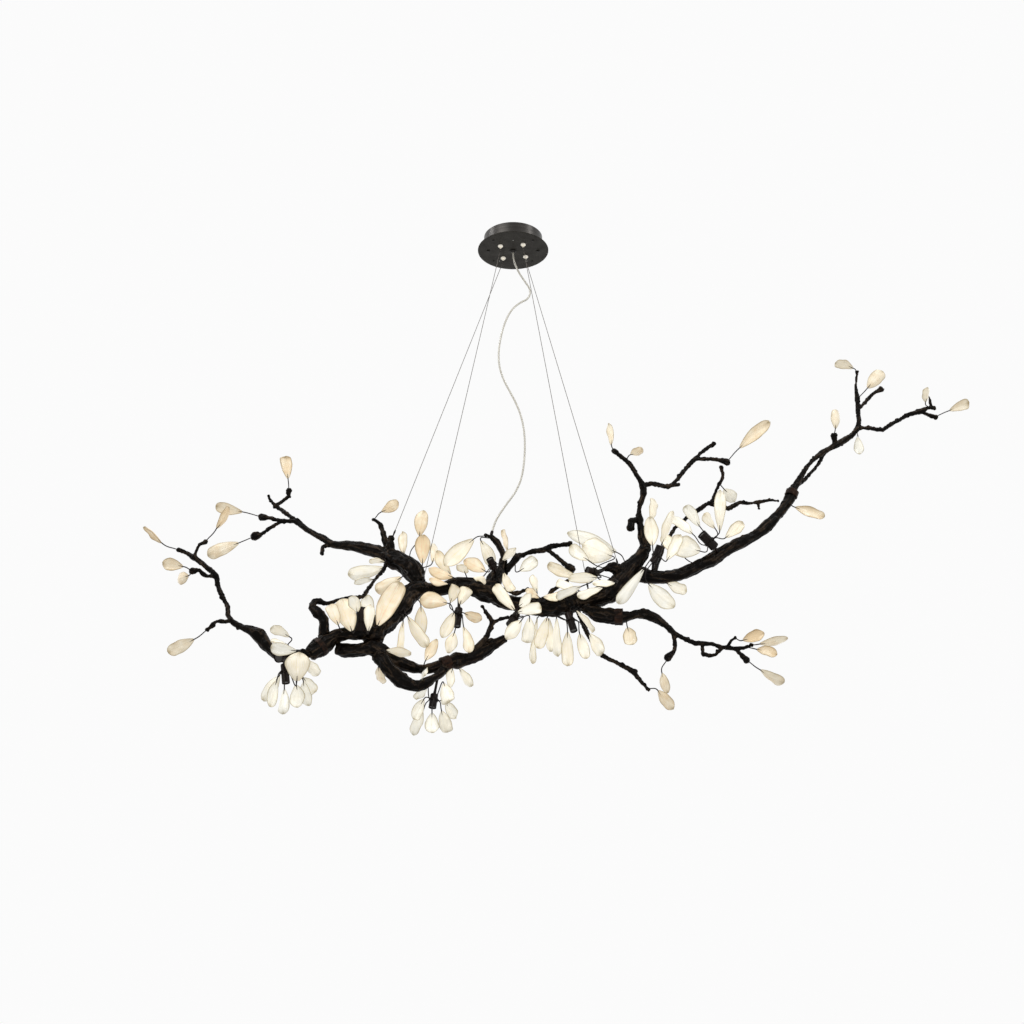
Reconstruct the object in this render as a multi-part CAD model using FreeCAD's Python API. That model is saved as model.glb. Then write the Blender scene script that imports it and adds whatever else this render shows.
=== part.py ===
import FreeCAD, Part
import math
import os

os.makedirs("parts", exist_ok=True)

Vector = FreeCAD.Vector

# The boughs are drawn as they are seen from one standing point below and in front of them.
# Rows of pixels in a square picture 1024 wide give the place, and pixel_size turns depth and
# half width into millimetres. Depth is away from the viewer, measured from the canopy's axis.
eye_distance = 3250.0
eye_drop = 2039.0
eye_aside = -3.0
eye_pitch_degrees = 21.2
focal_pixels = 1422.0
picture_centre = 512.0
pixel_size = 2.4

# Castings
seat_gap = 0.3
knob_swell_share = 1.25
bud_neck_share = 1.5
bud_run_share = 0.5
bud_tip_share = 0.8
bud_end_share = 0.75
cutter_reach = 4.0
midpoint_bow_share = 0.0625
level_share = 0.2
upright_share = 0.99
knob_limit_pixels = 3.5

# Knots swell each strand at its rows and waists narrow it between them, fully up to this half width
knot_limit_pixels = 4.0
knot_shares = [0, 0.14, 0.02, 0.2, 0, 0.1, 0.22, 0.04]
waist_shares = [0.07, 0, 0.1, 0.03, 0.08]

# Petals
petal_length = 70.0
petal_width = 26.0
petal_thickness = 2.4
petal_edge_thickness = 1.1
petal_seat_gap = 0.2
wire_radius = 1.0
wire_lead = 5.0
petal_cup_share = 0.16

# Shares of a petal: place along it, width there, and how far its middle line bows
petal_outline_shares = [(0, 0.2, 0), (0.1, 0.46, 0.012), (0.36, 0.84, 0.045), (0.68, 1, 0.055),
                        (0.9, 0.86, 0.025), (1, 0.42, 0)]

# Light tubes
large_tube_radius = 12.0
small_tube_radius = 9.0
tube_wall = 1.2
tube_bore_depth = 15.0
lens_thickness = 1.5
lens_recess = 2.0
module_height = 8.0
light_fit = 0.15
collar_wall = 2.2
collar_height = 5.0
collar_place_share = 0.42
light_stem_radius = 3.0

# Canopy
drum_radius = 77.0
drum_height = 37.0
drum_wall = 1.2
drum_lip = 6.0
plate_radius = 93.0
plate_thickness = 3.0
plate_edge_round = 0.8
overrun = 1.0

# Ceiling bracket
bracket_width = 24.0
bracket_thickness = 2.0
bracket_reach = 72.0
ceiling_hole_spacing = 84.0
ceiling_hole_radius = 2.6
supply_hole_radius = 7.0
supply_hole_offset = 22.0
bolt_radius = 2.0
bolt_clearance = 0.05
bolt_head_radius = 3.8
bolt_head_height = 2.4
bracket_foot_length = 9.0
bracket_foot_drop = 30.0
hole_clearance = 0.3

# Driver and terminal block
driver_length = 66.0
driver_width = 20.0
driver_height = 22.0
driver_offset = 50.0
driver_corner = 2.0
foot_length = 7.0
foot_thickness = 2.0
small_screw_radius = 1.4
small_head_radius = 2.6
small_head_height = 1.6
block_length = 36.0
block_width = 17.0
block_height = 15.0
block_offset = 52.0
block_ways = 3
block_port_radius = 2.2
block_port_depth = 6.0

# Cable grippers
gripper_offset = 30.0
gripper_turn_degrees = -6.7
gripper_radius = 6.5
gripper_length = 4.0
gripper_taper = 1.5
stem_radius = 4.5
stem_length = 12.0
stem_clearance = 0.2
nut_radius = 7.4
nut_height = 4.0
tip_radius = 2.3
tip_length = 11.0
tip_proud = 4.0
tip_travel = 2.0
tip_clearance = 0.1
tip_flange_radius = 3.0
tip_flange_height = 1.2
tip_round = 0.4

# Suspension cables
cable_radius = 0.75
cable_clearance = 0.25
cable_tail = 6.0
cable_bend_radius = 9.0
cable_exit_drop = 3.0
ferrule_radius = 2.4
ferrule_top_radius = 1.5
ferrule_length = 15.0
ferrule_bore_depth = 9.0
ferrule_waist_share = 0.55
stud_radius = 1.6
stud_depth = 7.0
stud_standoff = 3.0

# Power cord
cord_radius = 2.5
gland_radius = 6.5
gland_flange_radius = 9.0
gland_flange_height = 2.0
gland_length = 6.0
gland_nut_radius = 10.0
gland_nut_height = 4.0
gland_thread_radius = 6.0
gland_thread_length = 9.0
bush_radius = 4.4
bush_length = 13.0
cord_first_run = 20.0
cord_last_run = 25.0
arc_share = 0.45

# Sleeves over the joints of the limbs
sleeve_wall = 2.2

# The petal that swings on a hook
hook_drop = 6.0
hook_radius = 2.6
hook_wire = 0.6
eye_radius = 2.2
eye_wire = 0.5
hook_slack = 0.15
hook_seat = (857, 429, 70)
hook_row = (857, 429, 70, 3.4)
hook_petal_row = (856.5, 443, 856.5, 460, 10, 70, 0)

# Limb castings, each a list of strands. Every row is u, v, depth and half width in pixels.
limbs = {
    "lower_limb": [
        [(337.5, 648.5, -40, 5), (346, 650.5, -40, 6), (358.6, 650.5, -40, 6.2), (371, 647.5, -38, 7.5),
         (380, 652, -36, 8), (391.4, 658, -32, 6.5), (403, 663.8, -28, 5.6), (413.8, 668, -24, 5),
         (424, 669.6, -22, 4.6), (437.9, 666.3, -20, 5), (448.6, 662.2, -18, 5.6), (457, 660, -16, 6.8),
         (468, 658.9, -14, 5.4), (479, 654.7, -10, 5.4), (487.3, 648.9, -6, 5), (496.4, 643, -2, 4.5),
         (505, 638.5, 0, 3.6)],
        [(470, 655.5, -14, 3.6), (476, 648, -12, 3), (483.2, 641.4, -10, 3), (486.5, 636.4, -8, 2.4),
         (489.8, 629, -6, 2.1), (492.3, 623, -6, 2.3), (489.8, 617.4, -6, 2.3), (485.7, 611.6, -4, 2.2),
         (482.3, 605.8, -4, 1.7)],
        [(483, 641, -10, 1.8), (491, 640.5, -12, 1.6)],
        [(492.2, 622.7, -6, 1.8), (499.7, 619.4, -8, 1.6), (508, 617.4, -9, 1.9)],
    ],
    "left_trunk": [
        [(427, 590, 0, 6.2), (416, 591, -4, 9), (408, 596, -8, 9.5), (401.5, 604.5, -14, 10),
         (396.5, 612, -18, 10), (389, 619, -24, 10.5), (380, 625, -30, 10.5), (374, 634, -34, 10.5),
         (374, 642, -36, 9.5)],
    ],
    "centre_trunk": [
        [(424, 587.5, 1, 5.5), (432, 588.5, 3, 5), (440, 589.5, 4, 6), (452.8, 586, 4, 7), (465, 585, 2, 7),
         (475, 588.5, 0, 9), (485, 591.5, 0, 9.5), (493, 593, 0, 11), (499, 597, 0, 9.5),
         (505, 601.5, 0, 7), (516, 604.5, -2, 7), (531, 606, -4, 8), (543.6, 607.5, -4, 9.5),
         (556, 606.5, -2, 10), (572.6, 602, 0, 9.5)],
        [(499, 591, -4, 2.6), (505, 589.5, -8, 1.8), (510.5, 592, -10, 1.6), (516.3, 593.7, -12, 2),
         (522.9, 591.2, -12, 1.8), (527.9, 588.7, -12, 1.7)],
        [(549, 602, -8, 2.4), (551, 592, -10, 2.2), (555.2, 588.7, -10, 2.4), (562.7, 583.7, -12, 2),
         (567.7, 580.4, -12, 1.8)],
    ],
    "right_trunk": [
        [(572.6, 602, 0, 9.5), (585.6, 600.3, 0, 9.2), (598, 597, 0, 10), (608, 592.9, 0, 11),
         (614.6, 587.9, 0, 11), (621.3, 579.6, 0, 9.5), (627.9, 571.3, 2, 8.2), (635.3, 563, 4, 7.5),
         (642, 554.7, 6, 6.5), (646, 547, 8, 5.2)],
        [(622, 572, 0, 6.5), (615, 569, -3, 5.5), (608.8, 568, -4, 3.5), (597, 571.5, -6, 1.2)],
    ],
    "upper_left_limb": [
        [(420, 583, 6, 6), (414, 573, 10, 9), (406, 565, 12, 9.5), (395, 560, 16, 8.5), (386, 555, 20, 7),
         (376, 551, 24, 6), (361, 547.5, 28, 5.2), (346, 545.5, 34, 4.7), (333, 544.5, 40, 3.6),
         (324, 539, 44, 3.2), (307, 529.5, 52, 3), (296, 521, 58, 3.4)],
        [(296, 521, 58, 3), (281.5, 521, 60, 2.2), (270, 518, 62, 2), (261, 517, 64, 2.8)],
        [(281.5, 521, 60, 2), (270, 528, 58, 2), (263, 533.5, 56, 2), (254, 536.5, 54, 3)],
        [(294, 519, 58, 2.4), (287, 514, 62, 2.2), (279, 508.5, 66, 2.2), (275, 505.5, 68, 3)],
        [(275.5, 506, 68, 2), (270.5, 500, 70, 1.8), (268.5, 495.5, 70, 1.6)],
        [(275.5, 506, 68, 2), (281.5, 502, 70, 2), (288.5, 496.5, 72, 2), (289, 490.5, 72, 2.4)],
        [(331, 544.5, 42, 2.4), (323, 547, 38, 2), (322, 553.5, 36, 2.2)],
        [(391, 552, 18, 5), (390.5, 545, 15, 3.6), (391, 538.5, 14, 2.8)],
        [(388, 550, 21, 3.4), (385, 540, 22, 3), (382.5, 531, 22, 2.5), (380, 524, 22, 2.2),
         (373.5, 519.5, 22, 1.9)],
    ],
    "lower_left_limb": [
        [(372, 635, -36, 7), (364, 633.3, -39, 6), (354.5, 633, -42, 6), (342, 633.5, -46, 5.2),
         (333, 638, -50, 6.5), (325.5, 643, -54, 8), (318, 648.5, -56, 8), (309, 654, -58, 6.5)],
    ],
    "swag_limb": [
        [(379, 655, -40, 7.5), (384.8, 663.5, -44, 6.2), (391.4, 672, -46, 6.4), (401.4, 680.4, -46, 6.4),
         (409.7, 684.6, -44, 5.5), (418, 686.2, -42, 4.8), (424.6, 683.7, -40, 4.4), (432.1, 678.8, -36, 3.6),
         (440, 674, -29, 4), (444, 669, -24, 4.6)],
    ],
    "crooked_branch": [
        [(322, 640, -54, 4.5), (324, 629.7, -54, 4.6), (324, 620, -54, 4.6), (318, 613, -53, 4.5),
         (313, 607.4, -52, 4), (314.5, 602, -50, 3.2), (320.5, 601.5, -48, 2.6), (326.5, 603.5, -46, 2.2),
         (338, 600, -40, 2.2), (350.5, 597.4, -34, 2), (362, 597, -26, 1.9), (366, 592, -20, 1.9),
         (371, 585, -13, 1.8), (378, 576, -4, 1.8), (384, 569, 7, 1.8), (387, 560, 17, 1.8)],
    ],
    "far_left_branch": [
        [(310, 653.4, -59, 4.6), (303, 653.6, -61, 4), (290, 655, -62, 4), (278, 654, -62, 4.2),
         (271, 650.4, -60, 4.5), (266, 644.6, -58, 5), (259.5, 635.5, -56, 5.5), (250.4, 630.5, -54, 4.5),
         (242, 627, -52, 3.1), (234.6, 623, -50, 2.8), (231.3, 620, -50, 2.8), (228, 614.8, -48, 2.3),
         (228, 607.3, -46, 2.4), (224.6, 600.7, -44, 2.1), (220.5, 591.6, -42, 2.5), (217.2, 582.4, -40, 2.6),
         (215.8, 576, -40, 3.2), (208.6, 568.8, -38, 2.3), (200.2, 561.7, -36, 2.5), (193.8, 557.5, -36, 2.4),
         (186, 552.6, -34, 2.2), (178.4, 549.8, -34, 2)],
        [(232, 620.5, -50, 2), (225.4, 621.4, -52, 1.8), (217, 621.4, -54, 2), (212.8, 624.9, -56, 2.3),
         (207.2, 629.8, -58, 2)],
        [(215.8, 576.2, -40, 2.4), (206, 575.8, -42, 2), (199, 570.2, -44, 2), (191.7, 571, -46, 2.4)],
        [(195, 558, -36, 1.8), (196, 552, -36, 1.5), (199.5, 544.5, -36, 1.9), (205.8, 541.4, -36, 1.7)],
    ],
    "crown_branch": [
        [(493, 585, 3, 8), (497, 576, 6, 7), (501.4, 569.5, 8, 4.6), (503, 562, 8, 3.6),
         (503.8, 556.4, 8, 3.5), (500.5, 548, 8, 3), (496.4, 541.5, 8, 2.9), (491.4, 536.8, 8, 2.8),
         (485.4, 535.2, 8, 2)],
    ],
    "crown_arm": [
        [(502, 575.5, 9, 4), (508, 568, 10, 3.2), (512.1, 563.8, 10, 3), (517.1, 557.2, 10, 3.3),
         (522.9, 554.7, 12, 2.6), (532.9, 551.4, 14, 2.5), (543.6, 549.7, 16, 2.6), (551.9, 546.4, 18, 2.8),
         (562.7, 544.8, 20, 2.6), (570, 543.9, 22, 2.5)],
        [(503.5, 557, 8, 2), (511.3, 552.8, 9, 2), (517, 556.5, 10, 2.2)],
        [(546.8, 549.3, 17, 2.3), (556.1, 556.4, 18, 2.2), (564.5, 563.5, 18, 2.3), (571.5, 569.6, 18, 3)],
    ],
    "riser_branch": [
        [(646, 547, 8, 5), (643, 537.3, 8, 4.5), (641, 528.2, 8, 3.6), (639.5, 519.9, 8, 3.1),
         (639, 510.8, 8, 2.6), (641, 501.7, 8, 2.8), (643.7, 493.9, 8, 3), (641.6, 483.7, 8, 3.1),
         (635.5, 473.5, 6, 2.5), (629.4, 463.3, 4, 2.5), (621.2, 457, 2, 2.3), (614.1, 451, 0, 2)],
        [(643.4, 485.5, 8, 2.8), (651.8, 483.5, 10, 2.5), (661, 485.5, 12, 2.5), (668.2, 486.7, 14, 2.6),
         (674, 483, 16, 2.4), (680.4, 475.5, 18, 2.2), (688.6, 465.3, 20, 2.2), (694.7, 459.2, 22, 2.5),
         (702.9, 451, 24, 2.2), (714.1, 443.9, 26, 2)],
        [(668, 486.7, 14, 2), (678.4, 484.7, 14, 1.8)],
        [(694.7, 459.6, 22, 2.2), (705, 459, 24, 2), (715.1, 459.2, 26, 2), (727.3, 462.2, 28, 2.8)],
        [(640, 519.5, 8, 2.6), (632, 520.7, 4, 3), (630.4, 528, 2, 3.3)],
    ],
    "right_bough": [
        [(631, 573.5, 4, 7.5), (643.6, 575.2, 6, 7.5), (656, 577, 8, 6.6), (673.2, 576.1, 12, 6),
         (685.6, 572, 16, 6.4), (698, 566.2, 20, 6), (710.5, 560.4, 24, 6), (718.8, 554.6, 26, 6.8),
         (727.1, 549.6, 28, 6), (739.5, 543, 32, 5.1), (751.9, 537.2, 36, 5), (764.2, 528.8, 40, 5.2),
         (778.4, 514.3, 46, 5), (788.4, 501.4, 50, 5), (793, 490.5, 52, 5.2)],
    ],
    "bough_tip": [
        [(793, 490.5, 52, 4.5), (801, 475.5, 55, 2.6), (811, 462, 58, 2.5), (821, 453.5, 61, 2.6),
         (826, 450.5, 62.5, 3.5), (833.3, 446.6, 64, 3.2), (843.1, 441, 66, 3), (851.6, 435.4, 68, 3),
         (857.2, 428.4, 70, 3.6), (858.6, 420, 70, 2.4), (857.9, 410.2, 71, 2.8), (857.2, 398.9, 72, 2.6),
         (855.8, 387.7, 72, 1.6), (856.5, 379.3, 72, 1.5), (857.2, 371.6, 72, 1.6)],
        [(795.5, 486, 53.3, 2.6), (802, 482, 58, 2), (810.5, 473, 61.5, 2.1), (818.5, 463.5, 64, 1.6),
         (826, 450.5, 62.5, 1.8)],
        [(858.6, 409, 71, 2), (865.6, 401.7, 74, 1.9), (872.6, 394, 76, 2), (881, 389.1, 78, 2.4)],
        [(857.6, 427.7, 70, 2.6), (871.2, 428.4, 72, 2), (882.4, 429.8, 74, 2.6), (890.8, 424.2, 76, 2.1),
         (899.3, 420, 78, 2.1), (909.1, 414.4, 80, 2.3), (920.3, 411.6, 82, 3), (927.3, 408, 84, 2.1),
         (934.3, 408, 85, 2.2)],
        [(931, 408, 84.5, 1.8), (930, 401, 84.5, 1.2), (928, 394.7, 85, 0.8)],
        [(920.6, 412, 82, 2.2), (927.3, 414.6, 83, 1.8), (935.7, 417.2, 85, 2.6)],
        [(834, 446, 64, 2.6), (834.5, 440, 62, 2.6), (834, 435.5, 61, 3.4)],
    ],
    "back_twig": [
        [(654, 573, 11, 3.2), (659, 558, 19, 2.4), (663, 548, 22, 2), (669, 538, 26, 1.8), (675, 528, 30, 2),
         (684, 520, 34, 2), (693, 513.5, 36, 2.2), (702, 507.3, 38, 2.6), (709, 503.2, 40, 2.6),
         (718, 506, 42, 2.2), (728, 508.5, 44, 2.6), (739.5, 502.5, 46, 2.1), (748, 503, 48, 2),
         (758.6, 502.3, 50, 2), (770, 500, 52, 1.6), (778, 501, 53, 1.4)],
        [(709, 504, 40, 2.2), (713.8, 499, 40, 2.1), (716.3, 489.9, 41, 2), (719.6, 483.3, 42, 2),
         (722.9, 476.6, 43, 1.9), (721.2, 467.5, 43, 2)],
        [(758, 502, 50, 1.8), (759, 509, 50, 1.2)],
    ],
    "lower_right_limb": [
        [(585.6, 607, -5, 5.5), (597, 613, -8, 7), (609.7, 616.2, -9, 7.8), (618, 617.5, -10, 6.4),
         (630.5, 616, -12, 4.8), (642, 613.5, -14, 4.5), (653.7, 617.2, -16, 4.2), (662, 623, -18, 3.6),
         (670.3, 629.6, -20, 3.2), (674, 633.5, -21, 2.6), (682.4, 637.5, -24, 2.2), (694.7, 642.9, -26, 2.3),
         (711, 643.9, -28, 2.1), (721.2, 646.9, -30, 2.3), (731.4, 648, -32, 2.2), (743.7, 648, -34, 2),
         (752, 645, -35, 1.6)],
        [(672.8, 632.5, -21, 2.4), (674.6, 640.4, -22, 2), (674.8, 649.5, -23, 2.1), (667.8, 657.8, -24, 2.3)],
        [(702.9, 643.4, -27, 1.9), (702.9, 654, -28.5, 2), (715, 655, -30.5, 2), (722.6, 647.2, -30.5, 2)],
        [(727.3, 647.3, -31.4, 1.8), (731, 640.5, -33, 1.6), (735.5, 637.8, -34, 1.6)],
        [(734, 648.2, -32.5, 2), (741.6, 655.1, -35, 2), (746.7, 660.2, -36, 2.8)],
    ],
    "hanging_twig": [
        [(576, 606, 8, 2.6), (584, 626, 15, 2.3), (592, 642, 13, 2.3), (602.3, 655.4, 8, 2.4),
         (613.9, 661.2, 4, 2.2), (624.7, 667, 0, 2.2), (632, 671, -3, 2.4), (638.8, 678.6, -6, 2.2),
         (648.5, 689.5, -10, 1.8)],
        [(630, 669.5, -2, 1.8), (636, 671.5, -4, 1.5)],
    ],
}

# Lights: a point on the limb's middle line, the tube's root and mouth as u, v and depth, its radius
lights = {
    "far_left": ((284.5, 655, -62), (284.5, 664, -66), (286, 683.2, -68), small_tube_radius),
    "far_left_front": ((290, 655, -62), (289, 655.6, -70), (278, 657.5, -84), large_tube_radius),
    "left": ((361, 633.3, -41), (361, 632, -44), (361.5, 608, -44), large_tube_radius),
    "centre_left": ((458, 586, 3), (459, 608, -14), (456.9, 626.6, -18), small_tube_radius),
    "swag": ((438, 676, -31), (434.5, 694, -32), (432.3, 707.8, -34), small_tube_radius),
    "centre": ((568, 604, -1), (568, 613, -8), (574, 631, -14), small_tube_radius),
    "centre_front": ((516.5, 605, -2), (517, 614, -15), (509.4, 624.6, -24), small_tube_radius),
    "crown": ((496, 577, 5), (494.5, 569, -6), (489.5, 558.5, -14), small_tube_radius),
    "riser": ((652, 575, 7), (653.3, 563, -2), (660, 545.8, -6), small_tube_radius),
    "bough": ((718.5, 554.6, 25), (715, 547.5, 14), (701.4, 533.8, 6), large_tube_radius),
    "right_centre": ((606, 568.6, -4), (598, 573.5, -12), (587, 570, -20), small_tube_radius),
}

# Petals that each light's collar carries, by the cluster whose node they go to
clusters = {
    "petals_far_left": [
        ("far_left", [
            (279.5, 676, 264, 699.5, 10, -68, 0.2), (277, 681, 270.6, 705, 10, -80, -0.5),
            (284.5, 690, 284, 713, 10, -82, -0.4), (296.5, 685, 297, 706, 13, -76, -0.2),
            (304, 682, 309, 704.4, 9, -64, 0.3), (304, 678, 315, 691.5, 8, -56, 0.5),
            (297, 681, 299, 654, 20, -90, -0.2)]),
        ("far_left_front", [
            (289, 637, 271.5, 629, 8, -72, -0.3), (287, 645, 273, 643, 5, -82, -0.5),
            (296, 651, 272, 648, 9, -98, -0.2)]),
    ],
    "petals_left": [
        ("left", [
            (352, 631, 342, 601, 16, -60, -0.2), (357, 612, 353, 597, 9, -60, -0.5),
            (368, 631, 370, 606, 8, -62, 0.1), (378, 625, 399, 584, 18, -56, 0.1)]),
    ],
    "petals_centre_left": [
        ("centre_left", [
            (460, 604, 467.5, 588.5, 12, -32, -0.2), (450, 602, 456, 587, 8, -36, -0.6),
            (465, 613, 481, 619, 9, -26, 0.1), (454, 613, 442.5, 636, 10, -34, -0.2),
            (454.5, 633, 448.6, 652, 10, -26, 0.2), (464, 627, 469, 651, 9, -30, -0.1),
            (447, 603, 421.5, 599.5, 15, -24, 0.1)]),
    ],
    "petals_swag": [
        ("swag", [
            (424, 699.5, 415, 718, 10, -42, -0.3), (423, 712, 414, 734, 8, -30, 0.3),
            (432, 713, 433, 733, 14, -50, -0.4), (442, 711, 448, 731, 9, -36, 0.3),
            (446, 702, 456, 717, 9, -28, 0.5), (444, 684, 448.6, 702, 12, -48, -0.4),
            (426, 687, 418, 699, 8, -18, 0.6)]),
    ],
    "petals_centre": [
        ("centre", [
            (557, 619, 558.6, 654.5, 7, -18, 0), (567.6, 632, 568.4, 664, 11, -30, 0),
            (577, 611, 593.5, 630, 6, -26, -0.2), (580, 634, 586.5, 657, 10, -16, 0.1),
            (590, 634, 602, 653, 9, -12, -0.4), (547, 618, 538, 646.5, 11, -20, -0.1)]),
        ("centre_front", [
            (520.7, 621, 506.4, 638, 12, -38, -0.3), (518, 612, 540, 607.5, 10, -38, -0.1),
            (514, 610, 496.2, 586.2, 10, -34, -0.1), (519, 606, 530.6, 595.8, 9, -28, -0.5),
            (529.6, 618, 527, 641.5, 11, -22, 0.2)]),
    ],
    "petals_crown": [
        ("crown", [
            (485, 571, 465, 561, 13, -22, -0.3), (483, 577, 478, 581, 9, -22, -0.9),
            (504, 573, 512, 590, 8, -16, 0.1), (503, 560, 515, 548, 8, -20, -0.3)]),
    ],
    "petals_riser": [
        ("riser", [
            (652.4, 545, 649.8, 518, 13, -16, -0.1), (661.7, 543, 672.3, 513, 8, -14, -0.1),
            (667, 559.5, 679, 535.5, 9, -12, -0.1), (643, 570, 619, 602, 11, -28, -0.2),
            (649, 584.4, 673, 606, 15, -12, 0.1)]),
    ],
    "petals_bough": [
        ("bough", [
            (719.6, 530.5, 720.4, 492.6, 11, 4, 0), (726, 537, 742.3, 523, 10, 8, 0.1),
            (714.3, 528, 703.8, 515, 9, -14, -0.3), (699, 526, 685.6, 507, 10, -8, -0.1),
            (692, 534, 672.3, 519, 8, 8, 0.2), (700, 551, 678, 543, 20, -8, -0.1)]),
    ],
    "petals_right_centre": [
        ("right_centre", [
            (612, 556, 584, 546, 22, -18, -0.1), (576, 577, 549, 565.5, 9, -12, 0.1),
            (602, 588, 579, 597, 8, -24, -0.2), (581, 587, 557.4, 597, 7, -33, 0),
            (614, 583, 594, 585, 8, -36, -0.5), (597, 578, 570, 579, 10, -34, -0.2)]),
    ],
}

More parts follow.
